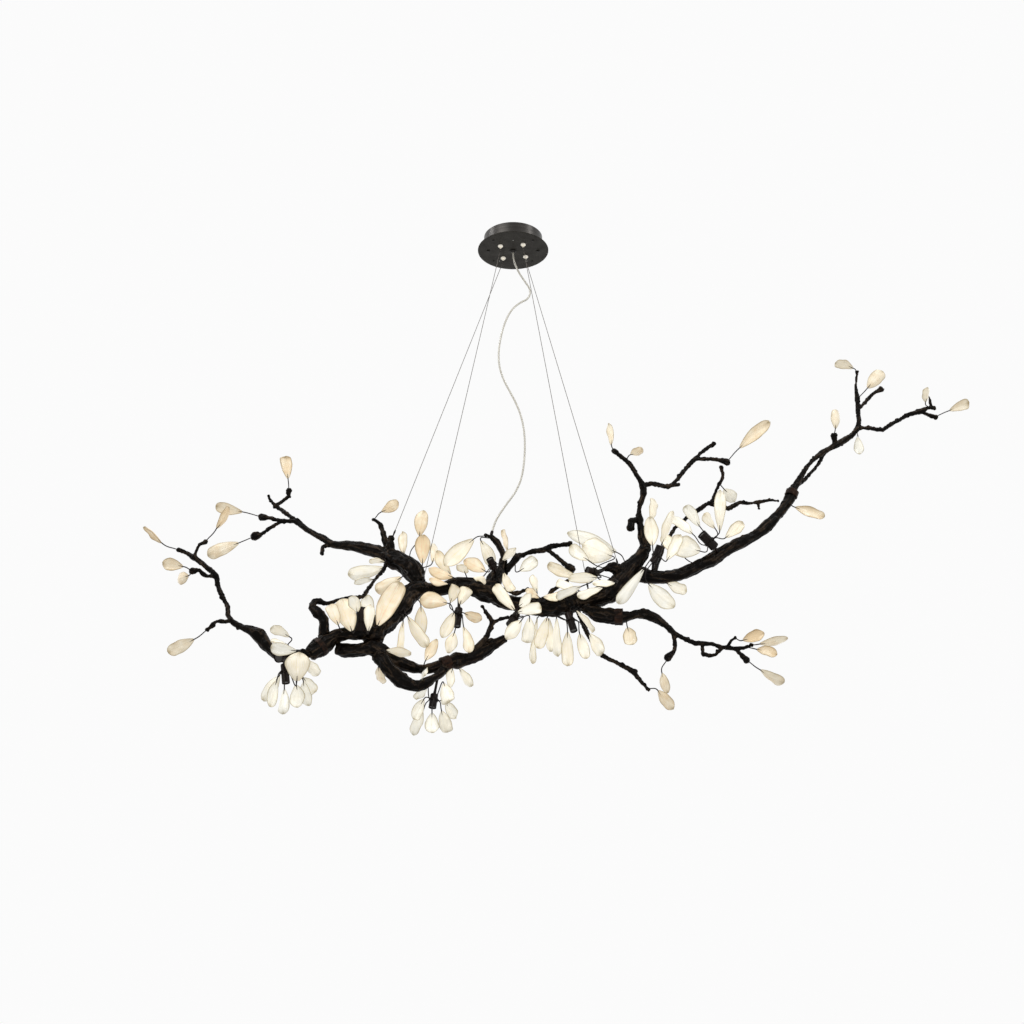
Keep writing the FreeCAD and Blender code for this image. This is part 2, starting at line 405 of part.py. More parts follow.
# Petals on a wire of their own: the node, the wire's points from inside the limb, then the petal
single_petals = [
    ("petals_far_left", "far_left_branch", [(300, 653.7, -61.4)], (306, 660, 318, 674, 9, -66, 0.3)),
    ("petals_left", "crooked_branch", [(374, 580.5, -9)], (372, 580, 356, 582, 7, -26, -0.4)),
    ("petals_left", "upper_left_limb", [(405, 566, 11)], (401, 577.5, 377, 590, 12, -18, 0.1)),
    ("petals_left", "upper_left_limb", [(385, 555, 20)], (384, 562.5, 371.5, 560, 7, 4, -0.5)),
    ("petals_left", "upper_left_limb", [(393, 559, 17)], (384, 568, 350, 574, 14, 14, 0.2)),
    ("petals_left", "left_trunk", [(384, 622, -27)], (372, 617, 366, 596, 12, -10, 0.3)),
    ("petals_left", "lower_left_limb", [(345, 633.5, -45)], (338, 625, 330, 606, 10, -76, 0)),
    ("petals_centre_left", "left_trunk", [(414, 592, -5)], (421, 607, 420, 634, 11, -8, 0.4)),
    ("petals_centre_left", "left_trunk", [(401.5, 604.5, -14)], (408.5, 617.5, 427, 645, 9, -34, -0.1)),
    ("petals_centre_left", "left_trunk", [(398, 610, -17)], (403.5, 622, 401, 655, 8, -46, -0.1)),
    ("petals_centre_left", "lower_limb", [(384, 654, -35)], (387, 650, 410, 653, 7, -58, -0.2)),
    ("petals_centre_left", "lower_limb", [(424, 669.6, -22)], (425.5, 660, 436, 640, 9, -36, -0.1)),
    ("petals_swag", "lower_limb", [(424, 669.6, -22)], (425.5, 671, 425.5, 676, 8, -32, -0.8)),
    ("petals_swag", "lower_limb", [(455, 660.6, -16.5)], (453, 669, 450, 686, 8, -30, -0.4)),
    ("petals_swag", "lower_limb", [(457, 660, -16)], (460, 669, 472, 685, 9, -24, -0.2)),
    ("petals_centre", "centre_trunk", [(540, 607, -4)], (537.5, 619, 533, 661, 6, -6, 0.1)),
    ("petals_centre", "centre_trunk", [(544, 607.5, -4)], (538.5, 597.5, 526, 591, 7, -22, -0.3)),
    ("petals_centre", "centre_trunk", [(549, 607, -3)], (543.5, 596.5, 560, 594.5, 7, -14, -0.1)),
    ("petals_centre", "centre_trunk", [(549, 607, -3)], (549, 619, 551, 650, 9, 2, 0.3)),
    ("petals_crown", "crown_branch", [(486.5, 535.4, 8)], (473.3, 539.5, 446, 564, 15, 0, -0.1)),
    ("petals_crown", "crown_branch", [(493, 538, 8)], (481, 541, 492, 565, 12, 20, 0.3)),
    ("petals_crown", "crown_branch", [(501, 550, 8)], (507, 550, 502, 531, 7, 20, 0.4)),
    ("petals_crown", "centre_trunk", [(460, 585.4, 3)], (452.5, 577.5, 430, 569, 9, -14, -0.1)),
    ("petals_crown", "centre_trunk", [(455, 585.8, 3.6)], (450, 574, 437, 552, 10, 10, 0.2)),
    ("petals_crown", "centre_trunk", [(452.8, 586, 4)], (447.5, 584, 430, 580, 6, -14, -0.2)),
    ("petals_crown", "centre_trunk", [(471, 587, 1)], (465, 573.5, 462, 566, 9, -16, -0.8)),
    ("petals_crown", "upper_left_limb", [(411, 570, 11), (410, 552, 6)], (419.5, 535.6, 424, 512, 13, 2, 0)),
    ("petals_crown", "upper_left_limb", [(415, 574, 9.5)], (422.5, 563, 423, 536, 14, -12, -0.1)),
    ("petals_crown", "upper_left_limb", [(413, 572, 10)], (432, 562, 434, 545, 8, 14, 0.4)),
    ("petals_crown", "upper_left_limb", [(402, 563, 13)], (403.5, 553.5, 402, 533, 8, 26, 0.4)),
    ("petals_riser", "riser_branch", [(643, 537.3, 8)], (650.4, 520, 653.4, 500.5, 8, -4, 0.3)),
    ("petals_riser", "right_bough", [(659, 576.5, 9)], (668, 583.5, 686, 590, 9, 4, 0.4)),
    ("petals_bough", "back_twig", [(719.4, 484, 42)], (724, 489, 734, 501, 12, 32, 0.3)),
    ("petals_bough", "right_bough", [(698, 566.2, 20)], (684, 557, 663, 536, 11, 2, 0)),
    ("petals_right_centre", "right_trunk", [(630, 569, 2.6)], (616, 552, 570, 534, 13, 12, 0.3)),
    ("petals_right_centre", "right_trunk", [(604, 568.6, -5)], (588, 560, 571, 547, 11, -30, -0.2)),
    ("petals_right_centre", "centre_trunk", [(536, 606.5, -4)], (536.5, 592, 533, 576, 8, -10, 0)),
    ("petals_right_centre", "crown_arm", [(514.5, 560.6, 10)], (520, 570.5, 536, 560, 10, -4, -0.2)),
    ("petals_right_centre", "right_trunk", [(590, 599, 0)], (575, 589.5, 557.4, 583, 8, -24, 0)),
    ("twig_petals_left", "far_left_branch", [(179, 550, -34)], (161, 543, 142.6, 526.5, 6, -36, 0.2)),
    ("twig_petals_left", "far_left_branch", [(205.4, 541.6, -36)], (216.5, 528, 228, 508, 9, -34, 0.1)),
    ("twig_petals_left", "upper_left_limb", [(262, 517, 64)], (242, 512, 217, 507, 10, 62, 0)),
    ("twig_petals_left", "upper_left_limb", [(255, 536.2, 54)], (238.5, 543, 209.3, 554.7, 12, 54, -0.1)),
    ("twig_petals_left", "far_left_branch", [(192.4, 570.8, -46)], (182.6, 566.6, 163.4, 563.8, 11, -50, 0)),
    ("twig_petals_left", "far_left_branch", [(192.2, 571, -46)], (189, 576, 179, 580, 10, -44, 0.8)),
    ("twig_petals_left", "far_left_branch", [(207.8, 629.2, -58)], (193.8, 639.6, 169.3, 651.8, 11, -60, 0)),
    ("twig_petals_left", "upper_left_limb", [(374, 519.7, 22)], (381.5, 511.5, 397.4, 503, 9, 20, 0.2)),
    ("twig_petals_left", "upper_left_limb", [(289, 491, 72)], (288, 478, 285, 457.4, 11, 72, 0)),
    ("twig_petals_left", "swag_limb", [(380, 656, -41)], (379, 667, 382.5, 682, 7, -30, 0.6)),
    ("twig_petals_right", "riser_branch", [(614.6, 451.6, 0)], (611, 444.5, 608, 424.5, 8, -2, -0.1)),
    ("twig_petals_right", "riser_branch", [(626, 460.6, 3.2)], (631, 454, 642, 448.5, 9, -3, -0.3)),
    ("twig_petals_right", "riser_branch", [(726.6, 462, 28)], (740.2, 447.4, 768.2, 422.4, 12, 28, 0)),
    ("twig_petals_right", "bough_tip", [(834, 436.5, 61.3)], (834.9, 428.5, 836, 411, 9.5, 60, 0.1)),
    ("twig_petals_right", "bough_tip", [(857.2, 372.4, 72)], (853, 368.5, 836, 364, 9, 68, -0.3)),
    ("twig_petals_right", "bough_tip", [(857.3, 399, 72)], (867.5, 388, 881, 372, 13, 66, -0.1)),
    ("twig_petals_right", "bough_tip", [(934.6, 417, 85)], (950, 410.3, 970, 403, 12, 85, 0)),
    ("twig_petals_right", "bough_tip", [(929.5, 408, 84.4)], (925, 402, 927, 388, 8, 76, -0.3)),
    ("twig_petals_right", "right_bough", [(788, 502, 49.8)], (795.5, 507, 823, 516, 9, 40, 0)),
    ("twig_petals_low", "hanging_twig", [(647.5, 688.5, -9.6)], (658.5, 690.5, 673, 708, 9, -10, 0)),
    ("twig_petals_low", "lower_right_limb", [(735, 638, -34)], (743, 640, 763, 633, 10, -38, -0.2)),
    ("twig_petals_low", "lower_right_limb", [(751, 645.4, -35)], (760, 643.5, 786, 638, 9, -30, 0)),
    ("twig_petals_low", "lower_right_limb", [(746, 647.2, -34.3)], (757, 649, 776, 654, 9, -40, -0.2)),
    ("twig_petals_low", "lower_right_limb", [(746, 659.6, -36)], (761, 669.8, 783, 681.6, 9, -36, 0)),
    ("twig_petals_low", "lower_right_limb", [(626, 616.6, -11.4)], (627.5, 627.5, 632.3, 643.3, 12, -16, -0.2)),
    ("twig_petals_low", "lower_right_limb", [(668.2, 657, -24)], (662.5, 673.6, 668.2, 692, 8, -24, -0.1)),
]

# Where each cable goes: side of the canopy, front or back, the limb, the point in it, its half width
cable_ends = {
    "back_left": (-1, 1, "upper_left_limb", (391, 541, 14.2), 5.2),
    "front_left": (-1, -1, "left_trunk", (421, 590.3, -2), 7.4),
    "front_right": (1, -1, "right_trunk", (590, 598.8, 0), 9.6),
    "back_right": (1, 1, "right_trunk", (622, 578, 0), 13.8),
}

# The power cord's loose course from the canopy to the crown of the boughs
cord_route = [
    (518.5, 272.5, 1), (524.8, 281.5, 3), (531, 290.3, 5), (528.6, 299, 6), (519.2, 303, 6),
    (511.2, 310, 5), (505.4, 321, 4), (501, 335.5, 3), (498.6, 350, 3), (498.8, 365, 3), (503, 379, 4),
    (510, 392, 5), (517, 405, 6), (522, 419, 7), (524.6, 434, 7), (525, 449, 8), (524, 464, 8),
    (521.5, 479, 8), (515.5, 492.5, 8), (507, 503.5, 8), (500, 513.5, 8),
]
bush_root = (490.9, 536, 8)
bush_heading = (493.2, 528, 8)

# Cast sleeves over the joints: the limb, and the first and last place along its rows
sleeve_places = [
    ("lower_limb", 9.3, 10.3),
    ("lower_right_limb", 2.6, 3.4),
    ("lower_left_limb", 5.4, 6.0),
    ("right_bough", 13.45, 13.95),
]


def place(u, v, depth):
    """Real point seen at pixel u, v whose depth in pixels is given."""
    pitch = math.radians(eye_pitch_degrees)
    across = u - picture_centre
    up = picture_centre - v
    ahead = focal_pixels * math.cos(pitch) - up * math.sin(pitch)
    rise = focal_pixels * math.sin(pitch) + up * math.cos(pitch)
    away = depth * pixel_size
    reach = (away + eye_distance) / ahead
    return Vector(eye_aside + reach * across, away, reach * rise - eye_drop)


def eye_point():
    return Vector(eye_aside, -eye_distance, -eye_drop)


def tangents(points):
    result = []
    for i in range(len(points)):
        before = points[max(i - 1, 0)]
        after = points[min(i + 1, len(points) - 1)]
        step_in = points[i] - before
        step_out = after - points[i]
        total = Vector(0, 0, 0)
        for step in (step_in, step_out):
            if step.Length > 0:
                total = total + Vector(step).normalize()
        result.append(total.normalize())
    return result


def frames(points):
    """Directions across the route that turn as little as they can from point to point."""
    along = tangents(points)
    side = along[0].cross(Vector(0, 1, 0))
    if side.Length < level_share:
        side = along[0].cross(Vector(1, 0, 0))
    side.normalize()
    result = []
    for direction in along:
        side = (side - direction * side.dot(direction)).normalize()
        result.append((side, direction.cross(side), direction))
    return result


def circle_at(point, frame, radius):
    side, other, along = frame
    edge = Part.Circle(Vector(0, 0, 0), Vector(0, 0, 1), radius).toShape()
    turn = FreeCAD.Matrix(side.x, other.x, along.x, point.x,
                          side.y, other.y, along.y, point.y,
                          side.z, other.z, along.z, point.z,
                          0, 0, 0, 1)
    edge.Placement = FreeCAD.Placement(turn)
    return Part.Wire([edge])


def strand_points(rows):
    return [place(u, v, depth) for u, v, depth, half in rows]


def strand_radii(rows):
    radii = []
    for i, (u, v, depth, half) in enumerate(rows):
        knot = knot_shares[i % len(knot_shares)] * min(1, knot_limit_pixels / half)
        radii.append(half * pixel_size * (1 + knot))
    return radii


def make_strand(rows, knobbed, extra=0.0):
    """Loft along one strand, which swells to a rounded bud at a free end."""
    points = strand_points(rows)
    radii = strand_radii(rows)
    if knobbed:
        end = points[-1]
        radius = radii[-1]
        run = end - points[-2]
        heading = Vector(run).normalize()
        neck = min(radius * bud_neck_share, run.Length * bud_run_share)
        points[-1:] = [end - heading * neck, end,
                       end + heading * (radius * bud_tip_share)]
        radii[-1:] = [radius, radius * knob_swell_share, radius * bud_end_share]
    points, radii = with_midpoints(points, radii)
    sections = [circle_at(point, frame, radius + extra)
                for point, frame, radius in zip(points, frames(points), radii)]
    return Part.makeLoft(sections, True, True)


def with_midpoints(points, radii):
    """Adds a slightly waisted section between each two, on a smooth curve through the points."""
    fine_points = [points[0]]
    fine_radii = [radii[0]]
    last = len(points) - 1
    for i in range(last):
        before = points[max(i - 1, 0)]
        after = points[min(i + 2, last)]
        bow = (points[i] + points[i + 1] - before - after) * midpoint_bow_share
        fine_points += [(points[i] + points[i + 1]) * 0.5 + bow, points[i + 1]]
        mean = (radii[i] + radii[i + 1]) / 2
        waist = waist_shares[i % len(waist_shares)] * min(1, knot_limit_pixels * pixel_size / mean)
        fine_radii += [mean * (1 - waist), radii[i + 1]]
    return fine_points, fine_radii


def fused(shapes):
    whole = shapes[0]
    if len(shapes) > 1:
        whole = shapes[0].multiFuse(shapes[1:])
    return whole


def largest(shape):
    return max(shape.Solids, key=lambda solid: solid.Volume)


def distance_to_box(box, point):
    dx = max(box.XMin - point.x, 0, point.x - box.XMax)
    dy = max(box.YMin - point.y, 0, point.y - box.YMax)
    dz = max(box.ZMin - point.z, 0, point.z - box.ZMax)
    return math.sqrt(dx * dx + dy * dy + dz * dz)


def comes_near(rows, box):
    """True where a strand's middle line runs by a box closer than its own radius and the reach."""
    points = strand_points(rows)
    radii = strand_radii(rows)
    for i, radius in enumerate(radii):
        stops = [points[i]]
        if i + 1 < len(points):
            stops.append((points[i] + points[i + 1]) * 0.5)
        if min(distance_to_box(box, stop) for stop in stops) < radius + cutter_reach:
            return True
    return False


thick_strands = {}


def thick_strand(name, index):
    """A strand grown by the seat gap, made once and kept."""
    if (name, index) not in thick_strands:
        thick_strands[name, index] = make_strand(limbs[name][index], has_bud(name, index), seat_gap)
    return thick_strands[name, index]


def has_bud(name, index):
    """True for a slim strand whose end lies clear of the limb's other strands."""
    end_row = limbs[name][index][-1]
    end = place(*end_row[:3])
    if end_row[3] > knob_limit_pixels:
        return False
    for other, rows in enumerate(limbs[name]):
        if other != index:
            for point, radius in zip(strand_points(rows), strand_radii(rows)):
                if (point - end).Length < radius:
                    return False
    return True


def cleared(shape, names):
    """The shape with a seat cut in it wherever one of the named limbs runs through it."""
    for name in names:
        for index, rows in enumerate(limbs[name]):
            if comes_near(rows, shape.BoundBox):
                cutter = thick_strand(name, index)
                if cutter.BoundBox.intersect(shape.BoundBox):
                    shape = shape.cut(cutter)
    return shape


def make_limb(name):
    return fused([make_strand(rows, has_bud(name, i)) for i, rows in enumerate(limbs[name])])


def rod(start, end, radius):
    return Part.makeCylinder(radius, (end - start).Length, start, end - start)


def make_wire(points, radius=None):
    """Straight runs of wire with a ball at each knee."""
    thickness = wire_radius if radius is None else radius
    shapes = [rod(a, b, thickness) for a, b in zip(points, points[1:])]
    shapes += [Part.makeSphere(thickness, knee) for knee in points[1:-1]]
    return fused(shapes)


def closed_section(corners, middle_back, middle_front):
    left_back, right_back, right_front, left_front = corners
    edges = [Part.Arc(left_back, middle_back, right_back).toShape(),
             Part.LineSegment(right_back, right_front).toShape(),
             Part.Arc(right_front, middle_front, left_front).toShape(),
             Part.LineSegment(left_front, left_back).toShape()]
    return Part.Wire(edges)


class Petal:
    """One cupped petal from its row: base u, v, tip u, v, width in pixels, base depth and lean."""

    def __init__(self, row, number):
        base_u, base_v, tip_u, tip_v, width, depth, lean = row
        seen = math.hypot(tip_u - base_u, tip_v - base_v)
        full = petal_length / pixel_size
        hidden = math.sqrt(max(full * full - seen * seen, 0))
        self.base = place(base_u, base_v, depth)
        self.tip = place(tip_u, tip_v, depth + lean * hidden)
        self.axis = (self.tip - self.base).normalize()
        self.length = (self.tip - self.base).Length
        self.width = max(width * pixel_size, petal_width)
        turn = math.acos(width * pixel_size / self.width)
        self.sign = 1 if number % 2 else -1
        toward = (eye_point() - self.base).normalize()
        face = (toward - self.axis * toward.dot(self.axis)).normalize()
        side = self.axis.cross(face)
        self.side = side * math.cos(turn) + face * (math.sin(turn) * self.sign)
        self.face = self.side.cross(self.axis)

    def section(self, along_share, width_share, curl_share):
        half = self.width * width_share / 2
        sag = self.width * width_share * petal_cup_share * self.sign
        lift = self.length * curl_share * self.sign
        thick = petal_thickness / 2
        edge = petal_edge_thickness / 2
        centre = self.base + self.axis * (self.length * along_share) + self.face * lift
        corners = [centre - self.side * half - self.face * edge,
                   centre + self.side * half - self.face * edge,
                   centre + self.side * half + self.face * edge,
                   centre - self.side * half + self.face * edge]
        return closed_section(corners, centre - self.face * (sag + thick),
                              centre - self.face * (sag - thick))

    def solid(self):
        sections = [self.section(*shares) for shares in petal_outline_shares]
        return Part.makeLoft(sections, True, False)

    def wire_end(self):
        """The knee and the end of the wire that holds the petal at its base."""
        return [self.base - self.axis * wire_lead, self.base - self.axis * petal_seat_gap]


class Light:
    """A light tube on its stem, with its lamp, lens and the collar that carries the petal wires."""

    def __init__(self, row):
        limb_point, root, mouth, radius = row
        self.limb_point = place(*limb_point)
        self.root = place(*root)
        self.mouth = place(*mouth)
        self.radius = radius
        self.axis = (self.mouth - self.root).normalize()
        self.bore = radius - tube_wall
        self.centre = self.root + (self.mouth - self.root) * collar_place_share

    def tube(self):
        barrel = rod(self.root, self.mouth, self.radius)
        hollow = Part.makeCylinder(self.bore, tube_bore_depth + overrun,
                                   self.mouth - self.axis * tube_bore_depth, self.axis)
        shapes = [barrel]
        if (self.root - self.limb_point).Length > light_stem_radius:
            shapes.append(rod(self.limb_point, self.root + self.axis * tube_wall, light_stem_radius))
        return fused(shapes).cut(hollow)

    def module(self):
        seat = self.mouth - self.axis * tube_bore_depth
        return Part.makeCylinder(self.bore - light_fit, module_height, seat, self.axis)

    def lens(self):
        seat = self.mouth - self.axis * (lens_recess + lens_thickness)
        return Part.makeCylinder(self.bore - light_fit, lens_thickness, seat, self.axis)

    def collar(self):
        low = self.centre - self.axis * (collar_height / 2)
        outside = Part.makeCylinder(self.radius + light_fit + collar_wall, collar_height, low, self.axis)
        bore = Part.makeCylinder(self.radius + light_fit, collar_height, low, self.axis)
        return outside.cut(bore)

    def wire_start(self, target):
        """The point in the collar's ring that lies nearest to the petal."""
        reach = target - self.centre
        across = reach - self.axis * reach.dot(self.axis)
        ring = self.radius + light_fit + collar_wall / 2
        return self.centre + across.normalize() * ring


def hex_prism(radius, height, centre):
    corners = [centre + Vector(radius * math.cos(math.radians(60 * i)),
                               radius * math.sin(math.radians(60 * i)), 0) for i in range(7)]
    return Part.Face(Part.makePolygon(corners)).extrude(Vector(0, 0, height))


def box_at(low_x, high_x, low_y, high_y, low_z, high_z):
    return Part.makeBox(high_x - low_x, high_y - low_y, high_z - low_z, Vector(low_x, low_y, low_z))


def upright(radius, low_z, high_z, x=0.0, y=0.0):
    return Part.makeCylinder(radius, high_z - low_z, Vector(x, y, low_z))


def gripper_place(x_side, y_side):
    """Where one gripper stands: the corner of a square that is turned a little about the canopy's axis."""
    turn = math.radians(gripper_turn_degrees)
    x = x_side * gripper_offset
    y = y_side * gripper_offset
    return x * math.cos(turn) - y * math.sin(turn), x * math.sin(turn) + y * math.cos(turn)


def canopy_parts():
    drum_floor = -drum_height
    plate_floor = drum_floor - plate_thickness
    bolt_offset = bracket_reach - bracket_thickness - bracket_foot_length / 2
    corners = [gripper_place(x_side, y_side) for x_side in (-1, 1) for y_side in (-1, 1)]

    drum = upright(drum_radius, drum_floor, 0)
    drum = drum.cut(upright(drum_radius - drum_wall, drum_floor + drum_wall, overrun))
    drum = drum.cut(upright(drum_radius - drum_wall - drum_lip, drum_floor - overrun, overrun))

    plate = upright(plate_radius, plate_floor, drum_floor)
    plate = plate.makeFillet(plate_edge_round, [e for e in plate.Edges if e.Length > plate_radius])
    holes = [upright(stem_radius + hole_clearance, plate_floor - overrun, drum_floor + overrun, x, y)
             for x, y in corners]
    holes.append(upright(gland_thread_radius + hole_clearance, plate_floor - overrun, drum_floor + overrun))
    for x in (-bolt_offset, bolt_offset):
        holes.append(upright(bolt_radius + hole_clearance, plate_floor - overrun, drum_floor + overrun, x))

    rim = drum_radius - drum_wall - drum_lip / 2
    rim_screws = []
    for i in range(4):
        angle = math.radians(45 + 90 * i)
        x = rim * math.cos(angle)
        y = rim * math.sin(angle)
        rim_screws.append(screw_up(x, y, plate_floor, plate_thickness + drum_wall))
        hole = upright(small_screw_radius + hole_clearance, plate_floor - overrun,
                       drum_floor + drum_wall + overrun, x, y)
        holes.append(hole)
        drum = drum.cut(hole)

    half_driver = driver_length / 2
    foot_x = half_driver + foot_length / 2
    driver = box_at(-half_driver, half_driver, driver_offset - driver_width / 2,
                    driver_offset + driver_width / 2, drum_floor, drum_floor + driver_height)
    driver = driver.makeFillet(driver_corner, [e for e in driver.Edges if is_upright(e)])
    feet = box_at(-half_driver - foot_length, half_driver + foot_length,
                  driver_offset - foot_length, driver_offset + foot_length,
                  drum_floor, drum_floor + foot_thickness)
    driver = driver.fuse(feet)
    block = box_at(-block_length / 2, block_length / 2, -block_offset - block_width / 2,
                   -block_offset + block_width / 2, drum_floor, drum_floor + block_height)
    way = block_length / block_ways
    for i in range(block_ways):
        x = way * (i - (block_ways - 1) / 2)
        port = Part.makeCylinder(block_port_radius, block_port_depth + overrun,
                                 Vector(x, -block_offset + block_width / 2 + overrun,
                                        drum_floor + block_height / 2), Vector(0, -1, 0))
        block = block.cut(port)
    inner_screws = []
    for x in (-foot_x, foot_x):
        inner_screws.append(screw_down(x, driver_offset, drum_floor + foot_thickness,
                                       foot_thickness + plate_thickness))
        hole = upright(small_screw_radius + bolt_clearance, plate_floor - overrun,
                       drum_floor + foot_thickness + overrun, x, driver_offset)
        holes.append(hole)
        driver = driver.cut(hole)
    inner_screws.append(screw_down(0, -block_offset, drum_floor + block_height,
                                   block_height + plate_thickness))
    hole = upright(small_screw_radius + bolt_clearance, plate_floor - overrun,
                   drum_floor + block_height + overrun, 0, -block_offset)
    holes.append(hole)
    block = block.cut(hole)
    for hole in holes:
        plate = plate.cut(hole)

    half = bracket_width / 2
    bracket = box_at(-bracket_reach, bracket_reach, -half, half, -bracket_thickness, 0)
    foot_floor = -bracket_foot_drop - bracket_thickness
    for side in (-1, 1):
        outer = side * bracket_reach
        inner = side * (bracket_reach - bracket_thickness)
        toe = side * (bracket_reach - bracket_thickness - bracket_foot_length)
        leg = box_at(min(outer, inner), max(outer, inner), -half, half, foot_floor, 0)
        foot = box_at(min(outer, toe), max(outer, toe), -half, half, foot_floor, -bracket_foot_drop)
        bracket = bracket.fuse(leg).fuse(foot)
        bracket = bracket.cut(upright(bolt_radius + bolt_clearance, foot_floor - overrun,
                                      overrun - bracket_foot_drop, side * bolt_offset))
        bracket = bracket.cut(upright(ceiling_hole_radius, -bracket_thickness - overrun, overrun,
                                      side * ceiling_hole_spacing / 2))
    bracket = bracket.cut(upright(supply_hole_radius, -bracket_thickness - overrun, overrun,
                                  supply_hole_offset))
    bracket = bracket.removeSplitter()

    bolts = []
    for x in (-bolt_offset, bolt_offset):
        shank = upright(bolt_radius, plate_floor, overrun - bracket_foot_drop, x)
        head = upright(bolt_head_radius, plate_floor - bolt_head_height, plate_floor, x)
        bolts.append(shank.fuse(head))

    gland = upright(gland_flange_radius, plate_floor - gland_flange_height, plate_floor)
    gland = gland.fuse(upright(gland_thread_radius, plate_floor, plate_floor + gland_thread_length))
    cone = Part.makeCone(gland_radius, cord_radius + tube_wall, gland_length - gland_flange_height,
                         Vector(0, 0, plate_floor - gland_flange_height), Vector(0, 0, -1))
    gland = gland.fuse(cone)
    gland_nut = hex_prism(gland_nut_radius, gland_nut_height, Vector(0, 0, drum_floor))
    gland_nut = gland_nut.cut(upright(gland_thread_radius + stem_clearance, drum_floor - overrun, overrun))

    bodies = []
    nuts = []
    tips = []
    for x, y in corners:
        bodies.append(gripper_body(x, y, plate_floor))
        nut = hex_prism(nut_radius, nut_height, Vector(x, y, drum_floor))
        nuts.append(nut.cut(upright(stem_radius + stem_clearance, drum_floor - overrun, overrun, x, y)))
        tips.append(gripper_tip(x, y, plate_floor))
    return {
        "ceiling_bracket": [bracket], "canopy_bolts": bolts, "canopy_drum": [drum],
        "canopy_plate": [plate], "rim_screws": rim_screws, "led_driver": [driver],
        "terminal_block": [block], "inner_screws": inner_screws, "cord_gland": [gland],
        "gland_nut": [gland_nut], "gripper_bodies": bodies, "gripper_nuts": nuts,
        "gripper_tip_back_left": [tips[1]], "gripper_tip_front_left": [tips[0]],
        "gripper_tip_back_right": [tips[3]], "gripper_tip_front_right": [tips[2]],
    }


def is_upright(edge):
    return abs(edge.tangentAt(edge.FirstParameter).z) > upright_share


def screw_up(x, y, face_z, length):
    shank = upright(small_screw_radius, face_z, face_z + length, x, y)
    return shank.fuse(upright(small_head_radius, face_z - small_head_height, face_z, x, y))


def screw_down(x, y, face_z, length):
    shank = upright(small_screw_radius, face_z - length, face_z, x, y)
    return shank.fuse(upright(small_head_radius, face_z, face_z + small_head_height, x, y))


def tip_levels(plate_floor):
    """Heights of the gripper's foot, of the tip's flange and of the tip's mouth."""
    foot = plate_floor - gripper_length
    mouth = foot - tip_proud
    flange_top = mouth + tip_length
    return foot, flange_top, mouth


def gripper_body(x, y, plate_floor):
    foot, flange_top, mouth = tip_levels(plate_floor)
    body = upright(gripper_radius, foot + gripper_taper, plate_floor, x, y)
    nose = Part.makeCone(tip_radius + tip_clearance + tube_wall, gripper_radius, gripper_taper,
                         Vector(x, y, foot))
    stem = upright(stem_radius, plate_floor, plate_floor + stem_length, x, y)
    body = body.fuse(nose).fuse(stem)
    chamber_floor = flange_top - tip_flange_height - tip_clearance
    chamber = upright(tip_flange_radius + tip_clearance, chamber_floor,
                      flange_top + tip_travel + tip_flange_height, x, y)
    throat = upright(tip_radius + tip_clearance, foot - overrun, flange_top, x, y)
    passage = upright(cable_radius + cable_clearance, foot, plate_floor + stem_length + overrun, x, y)
    return body.cut(chamber).cut(throat).cut(passage)


def gripper_tip(x, y, plate_floor):
    foot, flange_top, mouth = tip_levels(plate_floor)
    tip = upright(tip_radius, mouth, flange_top, x, y)
    tip = tip.makeFillet(tip_round, [e for e in tip.Edges if e.BoundBox.ZMax < mouth + tip_clearance])
    tip = tip.fuse(upright(tip_flange_radius, flange_top - tip_flange_height, flange_top, x, y))
    return tip.cut(upright(cable_radius + cable_clearance, mouth - overrun, flange_top + overrun, x, y))


def rounded_path(points, radii):
    """Straight runs joined by arcs that touch them, one radius for each inner point."""
    edges = []
    start = points[0]
    for before, corner, after, radius in zip(points, points[1:], points[2:], radii):
        arrive = (corner - before).normalize()
        leave = (after - corner).normalize()
        half_turn = arrive.getAngle(leave) / 2
        tangent = radius * math.tan(half_turn)
        arc_start = corner - arrive * tangent
        arc_end = corner + leave * tangent
        inward = (leave - arrive).normalize()
        centre = corner + inward * (radius / math.cos(half_turn))
        middle = centre - inward * radius
        edges.append(Part.LineSegment(start, arc_start).toShape())
        edges.append(Part.Arc(arc_start, middle, arc_end).toShape())
        start = arc_end
    edges.append(Part.LineSegment(start, points[-1]).toShape())
    return Part.Wire(edges)


def make_tube(path, radius):
    start = path.Edges[0].Vertexes[0].Point
    heading = path.Edges[0].tangentAt(path.Edges[0].FirstParameter)
    ring = Part.Wire([Part.Circle(start, heading, radius).toShape()])
    return path.makePipeShell([ring], True, True)


def cord_radii(points):
    radii = []
    for before, corner, after in zip(points, points[1:], points[2:]):
        shorter = min((corner - before).Length, (after - corner).Length)
        half_turn = (corner - before).getAngle(after - corner) / 2
        radii.append(arc_share * shorter / math.tan(half_turn))
    return radii


def cable_line(name):
    """Points of one cable: its end above the gripper, the bend below it and its end in the ferrule."""
    x_side, y_side, limb, target, half = cable_ends[name]
    x, y = gripper_place(x_side, y_side)
    plate_floor = -drum_height - plate_thickness
    foot, flange_top, mouth = tip_levels(plate_floor)
    top = Vector(x, y, plate_floor + stem_length + cable_tail)
    bend = Vector(x, y, mouth - cable_exit_drop)
    heart = place(*target)
    heading = (heart - bend).normalize()
    foot_point = heart - heading * (half * pixel_size + stud_standoff)
    end = foot_point - heading * (ferrule_length - ferrule_bore_depth + cable_clearance)
    return top, bend, end, foot_point, heading


